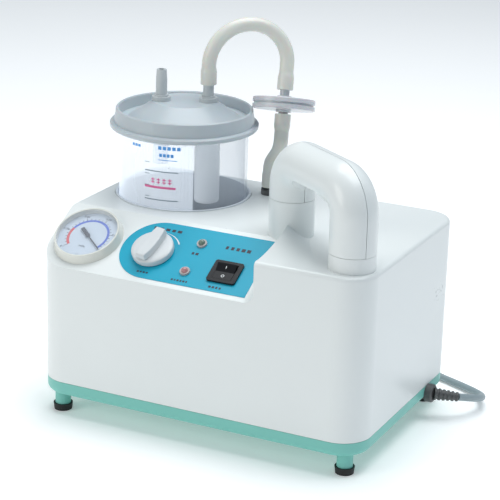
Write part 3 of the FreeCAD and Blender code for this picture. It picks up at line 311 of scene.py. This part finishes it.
def sheath(name, colour):
    """The matt PVC of a mains lead, a little scuffed."""
    paint = Paint(name)
    scuffs = paint.noise(160.0, 4.0, 0.7)
    patches = paint.noise(22.0, 2.0)
    paint.feed("Base Color", paint.mix(patches, shade(colour, 0.88), shade(colour, 1.10)))
    paint.feed("Roughness", 0.42 + (scuffs - 0.5) * 0.25)
    paint.bump(scuffs, 0.2, 0.00008)
    return paint.material


CASE_WHITE = moulded("case_white", (0.80, 0.825, 0.815), 0.30, Coat_Weight=0.15, Coat_Roughness=0.12)
TRAY_TEAL = moulded("tray_teal", (0.20, 0.56, 0.49), 0.38, relief=0.25)
LID_GREY = moulded("lid_grey", (0.51, 0.56, 0.59), 0.30, Subsurface_Weight=0.15,
                   Subsurface_Scale=0.004)
PORT_GREY = moulded("port_grey", (0.58, 0.61, 0.62), 0.40)
# The cage's faint emission is painted light: a glow that brightens it where the lid shades it inside the
# jar.
CAGE_GREY_PAINTED_GLOW = moulded("cage_grey_painted_glow", (0.80, 0.82, 0.83), 0.42,
                    Emission_Color=(0.9, 0.95, 1.0, 1.0), Emission_Strength=0.16)
WELL_LINER = moulded("well_liner", (0.78, 0.82, 0.86), 0.40)
KNOB_WHITE = moulded("knob_white", (0.66, 0.68, 0.69), 0.42, relief=0.2)
GAUGE_RIM = moulded("gauge_rim", (0.74, 0.74, 0.68), 0.22, Coat_Weight=0.5, Coat_Roughness=0.08)
BLACK_PLASTIC = moulded("black_plastic", (0.006, 0.006, 0.008), 0.38, Specular_IOR_Level=0.3)
DARK_PLASTIC = moulded("dark_plastic", (0.10, 0.10, 0.10), 0.42)
LAMP_BEZEL = moulded("lamp_bezel", (0.46, 0.41, 0.40), 0.30)
FLOAT_WHITE = moulded("float_white", (0.78, 0.78, 0.75), 0.40)
FILTER_SHELL = moulded("filter_shell", (0.62, 0.63, 0.66), 0.30, Subsurface_Weight=0.2,
                       Subsurface_Scale=0.004)
RUBBER_BLACK = rubber("rubber_black", (0.012, 0.012, 0.013), 0.62)
SEAL_SILICONE = silicone_hose("seal_silicone", (0.70, 0.70, 0.66))
HOSE_SILICONE = silicone_hose("hose_silicone", (0.74, 0.73, 0.67))
LEAD_GREY = sheath("lead_grey", (0.30, 0.36, 0.38))
FILM_CYAN = printed_film("film_cyan", (0.008, 0.36, 0.52))
# The label film's emission is painted light: a glow that stands in for light coming through the film from
# behind.
JAR_FILM_PAINTED_GLOW = clear_plastic("jar_film_painted_glow", (0.86, 0.91, 1.0), 0.26, 0.20, 0.30,
                         Emission_Color=(0.85, 0.92, 1.0, 1.0), Emission_Strength=0.60)
DIAL_PAPER = printed_film("dial_paper", (0.62, 0.69, 0.78), 0.5)
INK_BLACK = ink("ink_black", (0.02, 0.02, 0.04))
INK_BLUE = ink("ink_blue", (0.05, 0.12, 0.62))
INK_SKY = ink("ink_sky", (0.10, 0.36, 0.80))
INK_RED = ink("ink_red", (0.70, 0.05, 0.06))
INK_PINK = ink("ink_pink", (0.82, 0.16, 0.36))
INK_GREY = ink("ink_grey", (0.30, 0.36, 0.42))
INK_WHITE = ink("ink_white", (0.86, 0.88, 0.88))
JAR_CLEAR = clear_plastic("jar_clear", (0.80, 0.86, 0.95), 0.13, 0.55)
LENS_CLEAR = clear_plastic("lens_clear", (0.85, 0.90, 0.96), 0.10, 0.30)
GREEN_LENS = lamp_plastic("green_lens", (0.15, 0.21, 0.16), 0.0)
ORANGE_LENS = lamp_plastic("orange_lens", (0.52, 0.24, 0.24), 0.0)
ZINC = brushed("zinc", (0.66, 0.67, 0.68), 0.30, (1.0, 1.0, 8.0))
BRIGHT_STEEL = brushed("bright_steel", (0.70, 0.71, 0.73), 0.16, (0.1, 4.0, 4.0))
TURNED_BRASS = brushed("turned_brass", (0.72, 0.52, 0.24), 0.24, (4.0, 4.0, 0.3))
CAST_ALUMINIUM = cast_metal("cast_aluminium", (0.62, 0.63, 0.64))
CORE_SHEETS = laminations("core_sheets")
COPPER_WINDING = winding("copper_winding")

FINISHES = {
    CASE_WHITE: ("top_cover", "handle_front_shell", "handle_rear_shell"),
    TRAY_TEAL: ("base_tray",),
    LID_GREY: ("lid",),
    PORT_GREY: ("inlet_nozzle", "outlet_port"),
    CAGE_GREY_PAINTED_GLOW: ("inlet_tube", "float_cage"),
    WELL_LINER: ("jar_well",),
    KNOB_WHITE: ("regulator_knob",),
    GAUGE_RIM: ("gauge_case",),
    BLACK_PLASTIC: (
        "switch_housing", "switch_rocker", "cooling_fan", "pump_head", "fuse_holder", "plug",
    ),
    DARK_PLASTIC: ("cable_gland", "strain_relief", "vacuum_port"),
    LAMP_BEZEL: ("lamp_bezels",),
    FLOAT_WHITE: ("float",),
    FILTER_SHELL: ("filter_top", "filter_bottom"),
    RUBBER_BLACK: ("rubber_feet", "rubber_mounts", "diaphragm"),
    SEAL_SILICONE: ("lid_seal", "gauge_tube", "inner_vacuum_tube"),
    HOSE_SILICONE: ("hose_arch", "lower_hose"),
    LEAD_GREY: ("power_cord", "cord_coil"),
    FILM_CYAN: ("control_label",),
    JAR_FILM_PAINTED_GLOW: ("jar_label",),
    DIAL_PAPER: ("gauge_dial",),
    INK_BLACK: ("gauge_needle",),
    JAR_CLEAR: ("jar",),
    LENS_CLEAR: ("gauge_lens",),
    GREEN_LENS: ("power_lamp_lens",),
    ORANGE_LENS: ("overflow_lamp_lens",),
    ZINC: ("case_screws", "mounting_plate", "eccentric"),
    BRIGHT_STEEL: ("motor_bearings", "motor_shaft", "rocker_pin"),
    TURNED_BRASS: ("gauge_movement", "valve_body", "valve_stem", "port_nut"),
    CAST_ALUMINIUM: ("motor_end_bells", "connecting_rod", "pump_housing", "valve_plate"),
    CORE_SHEETS: ("motor_stator", "rotor_core"),
    COPPER_WINDING: ("motor_windings",),
}


def finish_nodes():
    for material, names in FINISHES.items():
        for name in names:
            for slot in nodes[name].material_slots:
                slot.material = material


# ------------------------------------------------------------------ modelling helpers

def only(piece):
    """Leaves one piece selected and active."""
    bpy.ops.object.select_all(action="DESELECT")
    piece.select_set(True)
    bpy.context.view_layer.objects.active = piece


def started(name):
    """The primitive just added, alone and named."""
    piece = bpy.context.object
    piece.name = name
    only(piece)
    return piece


def disc(name, radius, depth, centre, sides=64):
    bpy.ops.object.select_all(action="DESELECT")
    bpy.ops.mesh.primitive_cylinder_add(vertices=sides, radius=radius, depth=depth, location=centre)
    return started(name)


def slab(name, size, centre):
    bpy.ops.object.select_all(action="DESELECT")
    bpy.ops.mesh.primitive_cube_add(size=1, location=centre)
    piece = started(name)
    piece.scale = size
    bpy.ops.object.transform_apply(location=False, rotation=False, scale=True)
    return piece


def in_edit(piece, wanted=None):
    """Goes into edit mode with the faces that are wanted selected, or all of them."""
    only(piece)
    for face in piece.data.polygons:
        face.select = wanted is None or wanted(face.center, face.normal)
    bpy.ops.object.mode_set(mode="EDIT")
    bpy.ops.mesh.select_mode(type="FACE")


def out():
    bpy.ops.object.mode_set(mode="OBJECT")


def bevelled(piece, width, segments=3, angle=30):
    """Rounds every edge sharper than the angle."""
    only(piece)
    bevel = piece.modifiers.new("edges", "BEVEL")
    bevel.width = width
    bevel.segments = segments
    bevel.limit_method = "ANGLE"
    bevel.angle_limit = math.radians(angle)
    bpy.ops.object.modifier_apply(modifier=bevel.name)
    return smooth(piece)


def smooth(piece, angle=35):
    only(piece)
    bpy.ops.object.shade_smooth_by_angle(angle=math.radians(angle))
    return piece


def on_face(anchor, turn=0.0):
    """A place on the slanted face: X to the right, Y up the slope, Z out of it."""
    tilt = Matrix.Rotation(FACE_TILT, 4, "X")
    return Matrix.Translation(anchor) @ tilt @ Matrix.Rotation(math.radians(turn), 4, "Z")


def settle(piece, place, body, material):
    """Puts a piece made at the origin where it belongs, and gives it its body and finish."""
    only(piece)
    bpy.ops.object.transform_apply(location=True, rotation=True, scale=True)
    piece.data.transform(place)
    piece.data.materials.clear()
    piece.data.materials.append(material)
    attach(piece, body)
    return piece


def joined(name, pieces):
    """Several loose pieces made into one."""
    bpy.ops.object.select_all(action="DESELECT")
    for piece in pieces:
        piece.select_set(True)
    bpy.context.view_layer.objects.active = pieces[0]
    bpy.ops.object.join()
    return started(name)


def highest(node, direction, anchor):
    """How far a node reaches from an anchor along a direction."""
    return max((vertex.co - anchor).dot(direction) for vertex in nodes[node].data.vertices)


# ------------------------------------------------------------------ camera, light and floor

CAMERA_AZIMUTH = 25.1
CAMERA_ELEVATION = 19.5
CAMERA_ROLL = 1.8
CAMERA_DISTANCE = 1.5278
AIM_HEIGHT = 0.090


def add_camera():
    azimuth = math.radians(CAMERA_AZIMUTH)
    elevation = math.radians(CAMERA_ELEVATION)
    roll = math.radians(CAMERA_ROLL)
    backward = Vector((math.sin(azimuth) * math.cos(elevation),
                       -math.cos(azimuth) * math.cos(elevation), math.sin(elevation)))
    level = Vector((math.cos(azimuth), math.sin(azimuth), 0.0))
    upward = backward.cross(level)
    right = level * math.cos(roll) + upward * math.sin(roll)
    up = upward * math.cos(roll) - level * math.sin(roll)
    aim = Vector((0.0, 0.0, AIM_HEIGHT)) + right * 0.0146 + up * 0.0179
    data = bpy.data.cameras.new("camera")
    data.lens = 136.8
    data.sensor_width = 36.0
    data.shift_x = -0.0326
    data.shift_y = 0.055
    data.clip_end = 20.0
    camera = bpy.data.objects.new("camera", data)
    bpy.context.scene.collection.objects.link(camera)
    turn = Matrix((right, up, backward)).transposed().to_4x4()
    camera.matrix_world = Matrix.Translation(aim + backward * CAMERA_DISTANCE) @ turn
    bpy.context.scene.camera = camera


def add_panel_light(name, place, target, size, power, colour):
    data = bpy.data.lights.new(name, "AREA")
    data.shape = "RECTANGLE"
    data.size, data.size_y = size
    data.energy = power
    data.color = colour
    light = bpy.data.objects.new(name, data)
    bpy.context.scene.collection.objects.link(light)
    light.location = place
    light.rotation_euler = (Vector(target) - Vector(place)).to_track_quat("-Z", "Y").to_euler()


def add_studio():
    world = bpy.data.worlds.new("studio")
    world.use_nodes = True
    background = world.node_tree.nodes["Background"]
    background.inputs["Color"].default_value = (0.74, 0.88, 1.0, 1.0)
    background.inputs["Strength"].default_value = 0.27
    bpy.context.scene.world = world
    add_panel_light("overhead", (0.1, 0.3, 1.8), (0.0, 0.0, 0.1), (1.8, 1.4), 33.0, (0.95, 0.98, 1.0))
    add_panel_light("front_left", (-1.2, -1.5, 0.8), (0.0, 0.0, 0.1), (1.0, 1.0), 11.0, (1.0, 0.98, 0.92))
    add_panel_light("right_side", (1.9, 0.1, 0.6), (0.1, 0.0, 0.1), (0.9, 0.9), 1.0, (0.40, 0.70, 1.0))
    bpy.ops.mesh.primitive_plane_add(size=14.0, location=(0.0, 0.0, -0.0002))
    floor = started("floor")
    paint = Paint("floor_paper", Emission_Strength=0.22)
    fibres = paint.noise(4.0, 3.0)
    paint.feed("Base Color", paint.mix(fibres, (0.93, 0.93, 0.93, 1), (0.95, 0.95, 0.95, 1)))
    paint.feed("Roughness", 0.9)
    floor.data.materials.append(paint.material)
    bpy.context.scene.view_settings.view_transform = "Standard"


# ------------------------------------------------------------------ mains lead

def coil_points():
    """Four turns inwards on the floor, then three outwards on top of them."""
    points = []
    count = len(COIL_RADII)
    total = 2 * count - 1
    for step in range(1, int(total * COIL_STEPS * 0.99)):
        turn, share = divmod(step / COIL_STEPS, 1.0)
        turn = int(turn)
        if turn < count:
            inner = min(turn + 1, count - 1)
            slide = min(1.0, max(0.0, (share - 0.80) / 0.17))
            radius = COIL_RADII[turn] + (COIL_RADII[inner] - COIL_RADII[turn]) * slide
            climb = min(1.0, max(0.0, (share - 0.60) / 0.20)) if turn == count - 1 else 0.0
        else:
            ring = total - turn
            slide = min(1.0, max(0.0, (share - 0.40) / 0.18))
            radius = COIL_RADII[ring] + (COIL_RADII[ring - 1] - COIL_RADII[ring]) * slide
            climb = 1.0
        angle = math.radians(COIL_START + 360.0 * step / COIL_STEPS)
        height = COIL_LOW + (COIL_HIGH - COIL_LOW) * climb
        if turn == total - 1 and share > 0.93:
            break
        points.append((COIL_CENTRE[0] + radius * math.cos(angle),
                       COIL_CENTRE[1] + radius * math.sin(angle), height))
    return points


def mains_lead():
    data = bpy.data.curves.new("mains_lead", "CURVE")
    data.dimensions = "3D"
    data.bevel_depth = CORD_DIAMETER / 2
    data.bevel_resolution = 5
    data.resolution_u = 6
    data.use_fill_caps = True
    spline = data.splines.new("NURBS")
    points = list(CORD_ROUTE) + coil_points() + list(PLUG_TAIL)
    spline.points.add(len(points) - 1)
    for point, place in zip(spline.points, points):
        point.co = (place[0] * MM, place[1] * MM, place[2] * MM, 1.0)
    spline.order_u = 3
    spline.use_endpoint_u = True
    lead = bpy.data.objects.new("mains_lead", data)
    bpy.context.scene.collection.objects.link(lead)
    data.materials.append(LEAD_GREY)
    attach(lead, "case")
    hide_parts("power_cord", "cord_coil")
    return lead


def lead_sleeve():
    """The tapered sleeve where the lead leaves the case, with ribs that let it bend."""
    low = GLAND_END
    high = Vector(CORD_ROUTE[0]) * MM
    length = (high - low).length
    step = length / (2 * SLEEVE_RIBS + 1.0)
    bpy.ops.object.select_all(action="DESELECT")
    bpy.ops.mesh.primitive_cone_add(vertices=40, radius1=SLEEVE_ROOT_RADIUS, radius2=SLEEVE_TIP_RADIUS,
                                    depth=length, location=(0, 0, length / 2))
    sleeve = started("lead_sleeve")
    only(sleeve)
    bpy.ops.object.transform_apply(location=True, rotation=False, scale=False)
    for rib in range(2 * SLEEVE_RIBS):
        height = length * (rib + 1.0) / (2 * SLEEVE_RIBS + 1.0)
        in_edit(sleeve)
        bpy.ops.mesh.bisect(plane_co=(0, 0, height), plane_no=(0, 0, 1))
        out()
    in_edit(sleeve, lambda centre, normal: abs(normal.z) < 0.7 and int(centre.z / step) % 2 == 1)
    bpy.ops.mesh.extrude_region_shrink_fatten(
        TRANSFORM_OT_shrink_fatten={"value": -0.9 * MM, "use_even_offset": True})
    out()
    bevelled(sleeve, 0.25 * MM, 2, 40)
    turn = (high - low).to_track_quat("Z", "Y").to_matrix().to_4x4()
    settle(sleeve, Matrix.Translation(low) @ turn, "case", DARK_PLASTIC)
    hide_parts("strain_relief")
    return sleeve


def plug():
    """A moulded plug with grip ribs and two round pins."""
    body = slab("plug_body", (PLUG_LENGTH - PLUG_NECK, PLUG_WIDTH, PLUG_HEIGHT), (0, 0, 0))
    front = -(PLUG_LENGTH - PLUG_NECK) / 2
    in_edit(body, lambda centre, normal: normal.x > 0.9)
    bpy.ops.transform.resize(value=(1.0, 0.70, 0.78))
    out()
    in_edit(body, lambda centre, normal: normal.x < -0.9)
    bpy.ops.mesh.inset(thickness=2.4 * MM)
    bpy.ops.mesh.extrude_region_move(TRANSFORM_OT_translate={"value": (0.8 * MM, 0, 0)})
    out()
    bevelled(body, 2.2 * MM, 4, 40)
    pieces = [body]
    for side in (-1, 1):
        for row in range(5):
            rib = slab("grip", (1.3 * MM, 1.6 * MM, 8.0 * MM),
                       ((4.0 - 3.0 * row) * MM, side * (10.55 + 0.20 * row) * MM, 0))
            bevelled(rib, 0.4 * MM, 2)
            pieces.append(rib)
    neck = disc("neck", 5.2 * MM, PLUG_NECK, (-front + PLUG_NECK / 2 - 1.0 * MM, 0, 0), 32)
    neck.rotation_euler = (0, math.pi / 2, 0)
    bpy.ops.object.transform_apply(location=True, rotation=True, scale=False)
    in_edit(neck, lambda centre, normal: normal.x > 0.9)
    bpy.ops.transform.resize(value=(1.0, 0.72, 0.72))
    out()
    for ring in range(3):
        in_edit(neck)
        bpy.ops.mesh.bisect(plane_co=(-front + (3.0 + 3.2 * ring) * MM, 0, 0), plane_no=(1, 0, 0))
        out()
    pieces.append(bevelled(neck, 0.5 * MM, 2, 40))
    body = joined("plug_body", pieces)
    middle = PLUG_REAR - Vector((PLUG_NECK - front, 0, 0))
    settle(body, Matrix.Translation(middle), "case", BLACK_PLASTIC)
    pins = []
    for side in (-1, 1):
        pin = disc("pin", 2.2 * MM, 20.0 * MM, (front - 8.0 * MM, side * 6.5 * MM, 0), 32)
        pin.rotation_euler = (0, math.pi / 2, 0)
        bpy.ops.object.transform_apply(location=True, rotation=True, scale=False)
        pins.append(bevelled(pin, 0.9 * MM, 3))
    pins = joined("plug_pins", pins)
    settle(pins, Matrix.Translation(middle), "case", BRIGHT_STEEL)
    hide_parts("plug")
    return body, pins


# ------------------------------------------------------------------ control face

KNOB_LOW = 0.7 * MM
KNOB_RADIUS = 16.8 * MM
KNOB_SKIRT_HEIGHT = 4.5 * MM
KNOB_TOP = 11.0 * MM
KNOB_BAR_WIDTH = 10.5 * MM
KNOB_BAR_INSET = 1.7 * MM
KNOB_REST_ANGLE = -8.0


def knob():
    """A round skirt with a raised bar to turn it by, and a pointer line at the bar's end."""
    skirt = disc("knob_skirt", KNOB_RADIUS, KNOB_SKIRT_HEIGHT, (0, 0, KNOB_LOW + KNOB_SKIRT_HEIGHT / 2), 72)
    in_edit(skirt, lambda centre, normal: normal.z > 0.9)
    bpy.ops.mesh.inset(thickness=1.2 * MM)
    bpy.ops.transform.translate(value=(0, 0, 0.7 * MM))
    bpy.ops.mesh.inset(thickness=2.0 * MM)
    bpy.ops.transform.translate(value=(0, 0, 0.4 * MM))
    out()
    bevelled(skirt, 0.5 * MM, 3, 20)
    height = KNOB_TOP - KNOB_SKIRT_HEIGHT
    half = KNOB_RADIUS - KNOB_BAR_INSET
    bar = slab("knob_bar", (KNOB_BAR_WIDTH, 2 * half, height),
               (0, 0, KNOB_LOW + KNOB_SKIRT_HEIGHT + height / 2))
    in_edit(bar)
    bpy.ops.mesh.subdivide(number_cuts=5)
    out()
    for vertex in bar.data.vertices:
        along = vertex.co.y / half
        vertex.co.x *= 1.0 - 0.30 * along * along
        share = (vertex.co.z - KNOB_LOW - KNOB_SKIRT_HEIGHT) / height
        vertex.co.x *= 1.0 - 0.16 * share
        vertex.co.z -= 1.6 * MM * share * along * along
        vertex.co.y *= 1.0 - 0.05 * share
    bevelled(bar, 2.0 * MM, 4, 40)
    body = joined("knob_body", [skirt, bar])
    place = on_face(KNOB_CENTRE, KNOB_REST_ANGLE)
    settle(body, place, "knob", KNOB_WHITE)
    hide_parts("regulator_knob")
    line = slab("knob_pointer", (1.4 * MM, 4.0 * MM, 0.3 * MM), (0, half - 1.2 * MM, KNOB_LOW + 5.75 * MM))
    bevelled(line, 0.1 * MM, 1)
    settle(line, place, "knob", INK_BLACK)


def mark(name, anchor, places, size, lift, body, material, turn=0.0):
    """A row of small printed marks, as generic stand-ins for a legend."""
    rows = []
    for x, y, share in places:
        width = size[0] * share
        bar = slab("bar", (width, size[1], 0.16 * MM), (x * MM, y * MM, 0.0))
        in_edit(bar, lambda centre, normal: normal.z > 0.9)
        bpy.ops.mesh.inset(thickness=0.08 * MM)
        out()
        rows.append(bar)
    row = joined(name, rows)
    return settle(row, on_face(anchor + FACE_NORMAL * lift, turn), body, material)


def face_marks():
    """Legends on the film, each a short row of blocks."""
    label = highest("control_label", FACE_NORMAL, KNOB_CENTRE)
    rows = (
        ("legend_top_mark", 1.5, 24.0, (3.6, 2.6), (1.0, 0.7, 1.0, 0.8, 1.0)),
        ("legend_lamp_one", 33.9, 5.2, (2.4, 2.4), (0.8, 1.0)),
        ("legend_lamp_two", 33.7, -23.9, (1.7, 1.8), (1.0, 0.7, 1.0, 0.8, 1.0, 0.7)),
        ("legend_switch_top", 65.8, 16.9, (3.2, 3.2), (0.7, 0.8, 0.8, 1.0, 1.0)),
        ("legend_switch_low", 64.2, -24.0, (2.0, 2.0), (1.0, 1.0, 0.8, 0.8)),
        ("legend_knob", 1.0, -22.3, (1.8, 1.6), (1.0, 0.8, 1.0, 0.9)),
    )
    for name, x, y, size, shares in rows:
        pitch = size[0] * 1.45
        start = x - pitch * (len(shares) - 1) / 2
        places = [(start + pitch * i, y, share) for i, share in enumerate(shares)]
        size_m = (size[0] * MM, size[1] * MM)
        mark(name, KNOB_CENTRE, places, size_m, label, "case", INK_BLACK)
    crescent(KNOB_CENTRE, label)


def crescent(origin, lift):
    """A white wedge that widens clockwise round the knob, for more and less."""
    bpy.ops.object.select_all(action="DESELECT")
    bpy.ops.mesh.primitive_grid_add(x_subdivisions=24, y_subdivisions=1, size=1.0)
    wedge = started("legend_wedge")
    for vertex in wedge.data.vertices:
        share = vertex.co.x + 0.5
        angle = math.radians(84.0 - 50.0 * share)
        width = (0.15 + 1.05 * share) * MM
        radius = 20.6 * MM + vertex.co.y * width
        vertex.co = (radius * math.cos(angle), radius * math.sin(angle), 0.0)
    in_edit(wedge)
    bpy.ops.mesh.normals_make_consistent(inside=False)
    bpy.ops.mesh.extrude_region_move(TRANSFORM_OT_translate={"value": (0, 0, 0.08 * MM)})
    out()
    in_edit(wedge)
    bpy.ops.mesh.normals_make_consistent(inside=False)
    out()
    settle(wedge, on_face(origin + FACE_NORMAL * lift), "case", INK_WHITE)


DIAL_START = -38.0
DIAL_SWEEP = 261.0
DIAL_RED_FROM = 160.0
DIAL_ARC_RADIUS = 16.5 * MM
DIAL_NUMBER_RADIUS = 21.9 * MM
DIAL_DIVISIONS = 25
DIAL_NUMBERS = ("0", "0.02", "0.04", "0.06", "0.08", "0.1")


def arc_band(name, radius, width, first, last, material, anchor):
    """A thin printed arc on the dial, in degrees anticlockwise from the right."""
    bpy.ops.object.select_all(action="DESELECT")
    steps = max(8, int((last - first) / 4))
    bpy.ops.mesh.primitive_grid_add(x_subdivisions=steps, y_subdivisions=1, size=1.0)
    band = started(name)
    for vertex in band.data.vertices:
        angle = math.radians(last - (last - first) * (vertex.co.x + 0.5))
        reach = radius + vertex.co.y * width
        vertex.co = (reach * math.cos(angle), reach * math.sin(angle), 0.0)
    in_edit(band)
    bpy.ops.mesh.extrude_region_move(TRANSFORM_OT_translate={"value": (0, 0, 0.10 * MM)})
    bpy.ops.mesh.select_all(action="SELECT")
    bpy.ops.mesh.normals_make_consistent(inside=False)
    out()
    return settle(band, on_face(anchor), "case", material)


def numeral(text, size, x, y):
    """One printed number, made a mesh before it is placed."""
    bpy.ops.object.select_all(action="DESELECT")
    bpy.ops.object.text_add()
    written = bpy.context.object
    written.data.body = text
    written.data.size = size
    written.data.align_x = "CENTER"
    written.data.align_y = "CENTER"
    written.data.extrude = 0.05 * MM
    only(written)
    bpy.ops.object.convert(target="MESH")
    piece = started("numeral")
    piece.location = (x, y, 0)
    only(piece)
    bpy.ops.object.transform_apply(location=True, rotation=False, scale=False)
    return piece


def dial():
    """The gauge's printed scale: a blue arc, a red arc, ticks and numbers."""
    lift = highest("gauge_dial", FACE_NORMAL, GAUGE_CENTRE)
    anchor = GAUGE_CENTRE + FACE_NORMAL * lift
    radius = DIAL_ARC_RADIUS
    last = DIAL_START + DIAL_SWEEP
    arc_band("dial_arc_blue", radius, 2.0 * MM, DIAL_START, DIAL_RED_FROM, INK_BLUE, anchor)
    arc_band("dial_arc_red", radius, 2.2 * MM, DIAL_RED_FROM, last, INK_RED, anchor)
    ticks = []
    for index in range(DIAL_DIVISIONS + 1):
        angle = math.radians(DIAL_START + DIAL_SWEEP * index / DIAL_DIVISIONS)
        length = (2.6 if index % 5 == 0 else 1.4) * MM
        reach = radius + 1.1 * MM + length / 2
        tick = slab("tick", (length, 0.40 * MM, 0.10 * MM), (reach, 0, 0.05 * MM))
        only(tick)
        bpy.ops.object.transform_apply(location=True, rotation=False, scale=False)
        tick.data.transform(Matrix.Rotation(angle, 4, "Z"))
        ticks.append(tick)
    settle(joined("dial_ticks", ticks), on_face(anchor), "case", INK_BLACK)
    numbers = []
    reach = DIAL_NUMBER_RADIUS
    for index, text in enumerate(DIAL_NUMBERS):
        angle = math.radians(DIAL_START + DIAL_SWEEP * index / (len(DIAL_NUMBERS) - 1))
        numbers.append(numeral(text, 2.9 * MM, reach * math.cos(angle), reach * math.sin(angle)))
    numbers.append(numeral("MPa", 3.4 * MM, 0.0, -11.5 * MM))
    numbers.append(numeral("2.5", 2.2 * MM, 0.0, -20.5 * MM))
    settle(joined("dial_numbers", numbers), on_face(anchor), "case", INK_BLACK)


ROCKER_TILT = 10.0
ROCKER_MARK_OFFSET = 4.0 * MM
ROCKER_DISH = 1.2 * MM
ROCKER_HALF = 7.15 * MM


def rocker_marks():
    """A bar for on and a ring for off, standing just proud of the rocker."""
    tilt = Matrix.Rotation(math.radians(ROCKER_TILT), 4, "X")
    place = on_face(ROCKER_PIVOT) @ tilt
    bar = slab("rocker_mark_on", (0.6 * MM, 2.2 * MM, 0.2 * MM), (0, 0, 0))
    bevelled(bar, 0.08 * MM, 1)
    slope = math.atan2(ROCKER_DISH, ROCKER_HALF)
    level = highest_near("switch_rocker", place, ROCKER_MARK_OFFSET)
    spot = place @ Matrix.Translation((0, ROCKER_MARK_OFFSET, level)) @ Matrix.Rotation(slope, 4, "X")
    settle(bar, spot, "rocker", INK_WHITE)
    bpy.ops.object.select_all(action="DESELECT")
    bpy.ops.mesh.primitive_torus_add(major_radius=1.1 * MM, minor_radius=0.24 * MM,
                                     major_segments=36, minor_segments=8)
    ring = started("rocker_mark_off")
    only(ring)
    in_edit(ring)
    bpy.ops.transform.resize(value=(1.0, 1.0, 0.35))
    out()
    smooth(ring)
    spot = place @ Matrix.Translation((0, -ROCKER_MARK_OFFSET, level)) @ Matrix.Rotation(-slope, 4, "X")
    settle(ring, spot, "rocker", INK_WHITE)


def highest_near(node, place, offset):
    """The height of a rocker's upper face, an offset away from its middle."""
    back = place.inverted()
    local = [back @ vertex.co for vertex in nodes[node].data.vertices]
    top = max(point.z for point in local)
    reach = max(point.y for point in local if point.z > top - 0.0001)
    valley = top - ROCKER_DISH
    return valley + (top - valley) * offset / reach


# ------------------------------------------------------------------ jar

def wrapped(name, low_angle, high_angle, low, high, lift, steps=24):
    """A thin patch on the jar's wall between two angles and two heights."""
    bpy.ops.object.select_all(action="DESELECT")
    bpy.ops.mesh.primitive_grid_add(x_subdivisions=steps, y_subdivisions=1, size=1.0)
    patch = started(name)
    radius = JAR_RADIUS + lift
    for vertex in patch.data.vertices:
        angle = math.radians(low_angle + (high_angle - low_angle) * (vertex.co.x + 0.5))
        height = low + (high - low) * (vertex.co.y + 0.5)
        x = JAR_CENTRE.x + radius * math.cos(angle)
        y = JAR_CENTRE.y + radius * math.sin(angle)
        vertex.co = (x, y, height)
    in_edit(patch)
    bpy.ops.mesh.normals_make_consistent(inside=False)
    bpy.ops.mesh.solidify(thickness=0.08 * MM)
    bpy.ops.mesh.select_all(action="SELECT")
    bpy.ops.mesh.normals_make_consistent(inside=False)
    out()
    return patch


def settle_on_jar(piece, material):
    settle(piece, Matrix.Identity(4), "jar", material)


MARK_LIFT = 0.36 * MM
SCALE_LEFT = 262.0
SCALE_RIGHT = 293.0
SCALE_LOW = 0.1125
SCALE_STEP = 0.0094
SCALE_LINES = (0.1900, 0.1665, 0.1430, 0.1195)


def jar_marks():
    """The printed scale of the jar: lines with short rows of marks beside and above them."""
    lines = []
    for height in SCALE_LINES:
        lines.append(wrapped("line", SCALE_LEFT, SCALE_RIGHT, height, height + 0.0009, MARK_LIFT))
    for step in range(1, 10):
        height = SCALE_LOW + SCALE_STEP * step
        lines.append(wrapped("line", SCALE_LEFT, SCALE_LEFT + 5.0, height, height + 0.0005, MARK_LIFT, 6))
    settle_on_jar(joined("jar_scale_lines", lines), INK_GREY)
    line = wrapped("jar_limit_line", SCALE_LEFT, SCALE_RIGHT - 2.0, 0.1765, 0.1783, MARK_LIFT)
    settle_on_jar(line, INK_PINK)
    blocks = []
    for index in range(4):
        angle = 268.5 + 5.2 * index
        blocks.append(wrapped("block", angle, angle + 3.4, 0.1812, 0.1820, MARK_LIFT, 4))
        blocks.append(wrapped("block", angle, angle + 3.4, 0.1834, 0.1842, MARK_LIFT, 4))
        blocks.append(wrapped("block", angle + 1.3, angle + 2.1, 0.1802, 0.1850, MARK_LIFT, 2))
    settle_on_jar(joined("jar_limit_marks", blocks), INK_PINK)
    blocks = []
    for index in range(5):
        angle = 275.0 + 4.2 * index
        blocks.append(wrapped("block", angle, angle + 3.0, 0.2086, 0.2114, MARK_LIFT, 4))
    for index in range(3):
        angle = 247.0 + 3.6 * index
        blocks.append(wrapped("block", angle, angle + 2.6, 0.2080, 0.2102, MARK_LIFT, 4))
    settle_on_jar(joined("jar_heading_marks", blocks), INK_SKY)
    blocks = []
    for index in range(4):
        angle = 276.0 + 3.4 * index
        blocks.append(wrapped("block", angle, angle + 2.6, 0.2028, 0.2054, MARK_LIFT, 4))
    blocks.append(wrapped("block", 275.0, 292.0, 0.2000, 0.2005, MARK_LIFT))
    settle_on_jar(joined("jar_unit_marks", blocks), INK_SKY)


# ------------------------------------------------------------------ putting it together

finish_nodes()
add_camera()
add_studio()
lead = mains_lead()
sleeve = lead_sleeve()
plug_pieces = plug()
knob()
face_marks()
dial()
rocker_marks()
jar_marks()
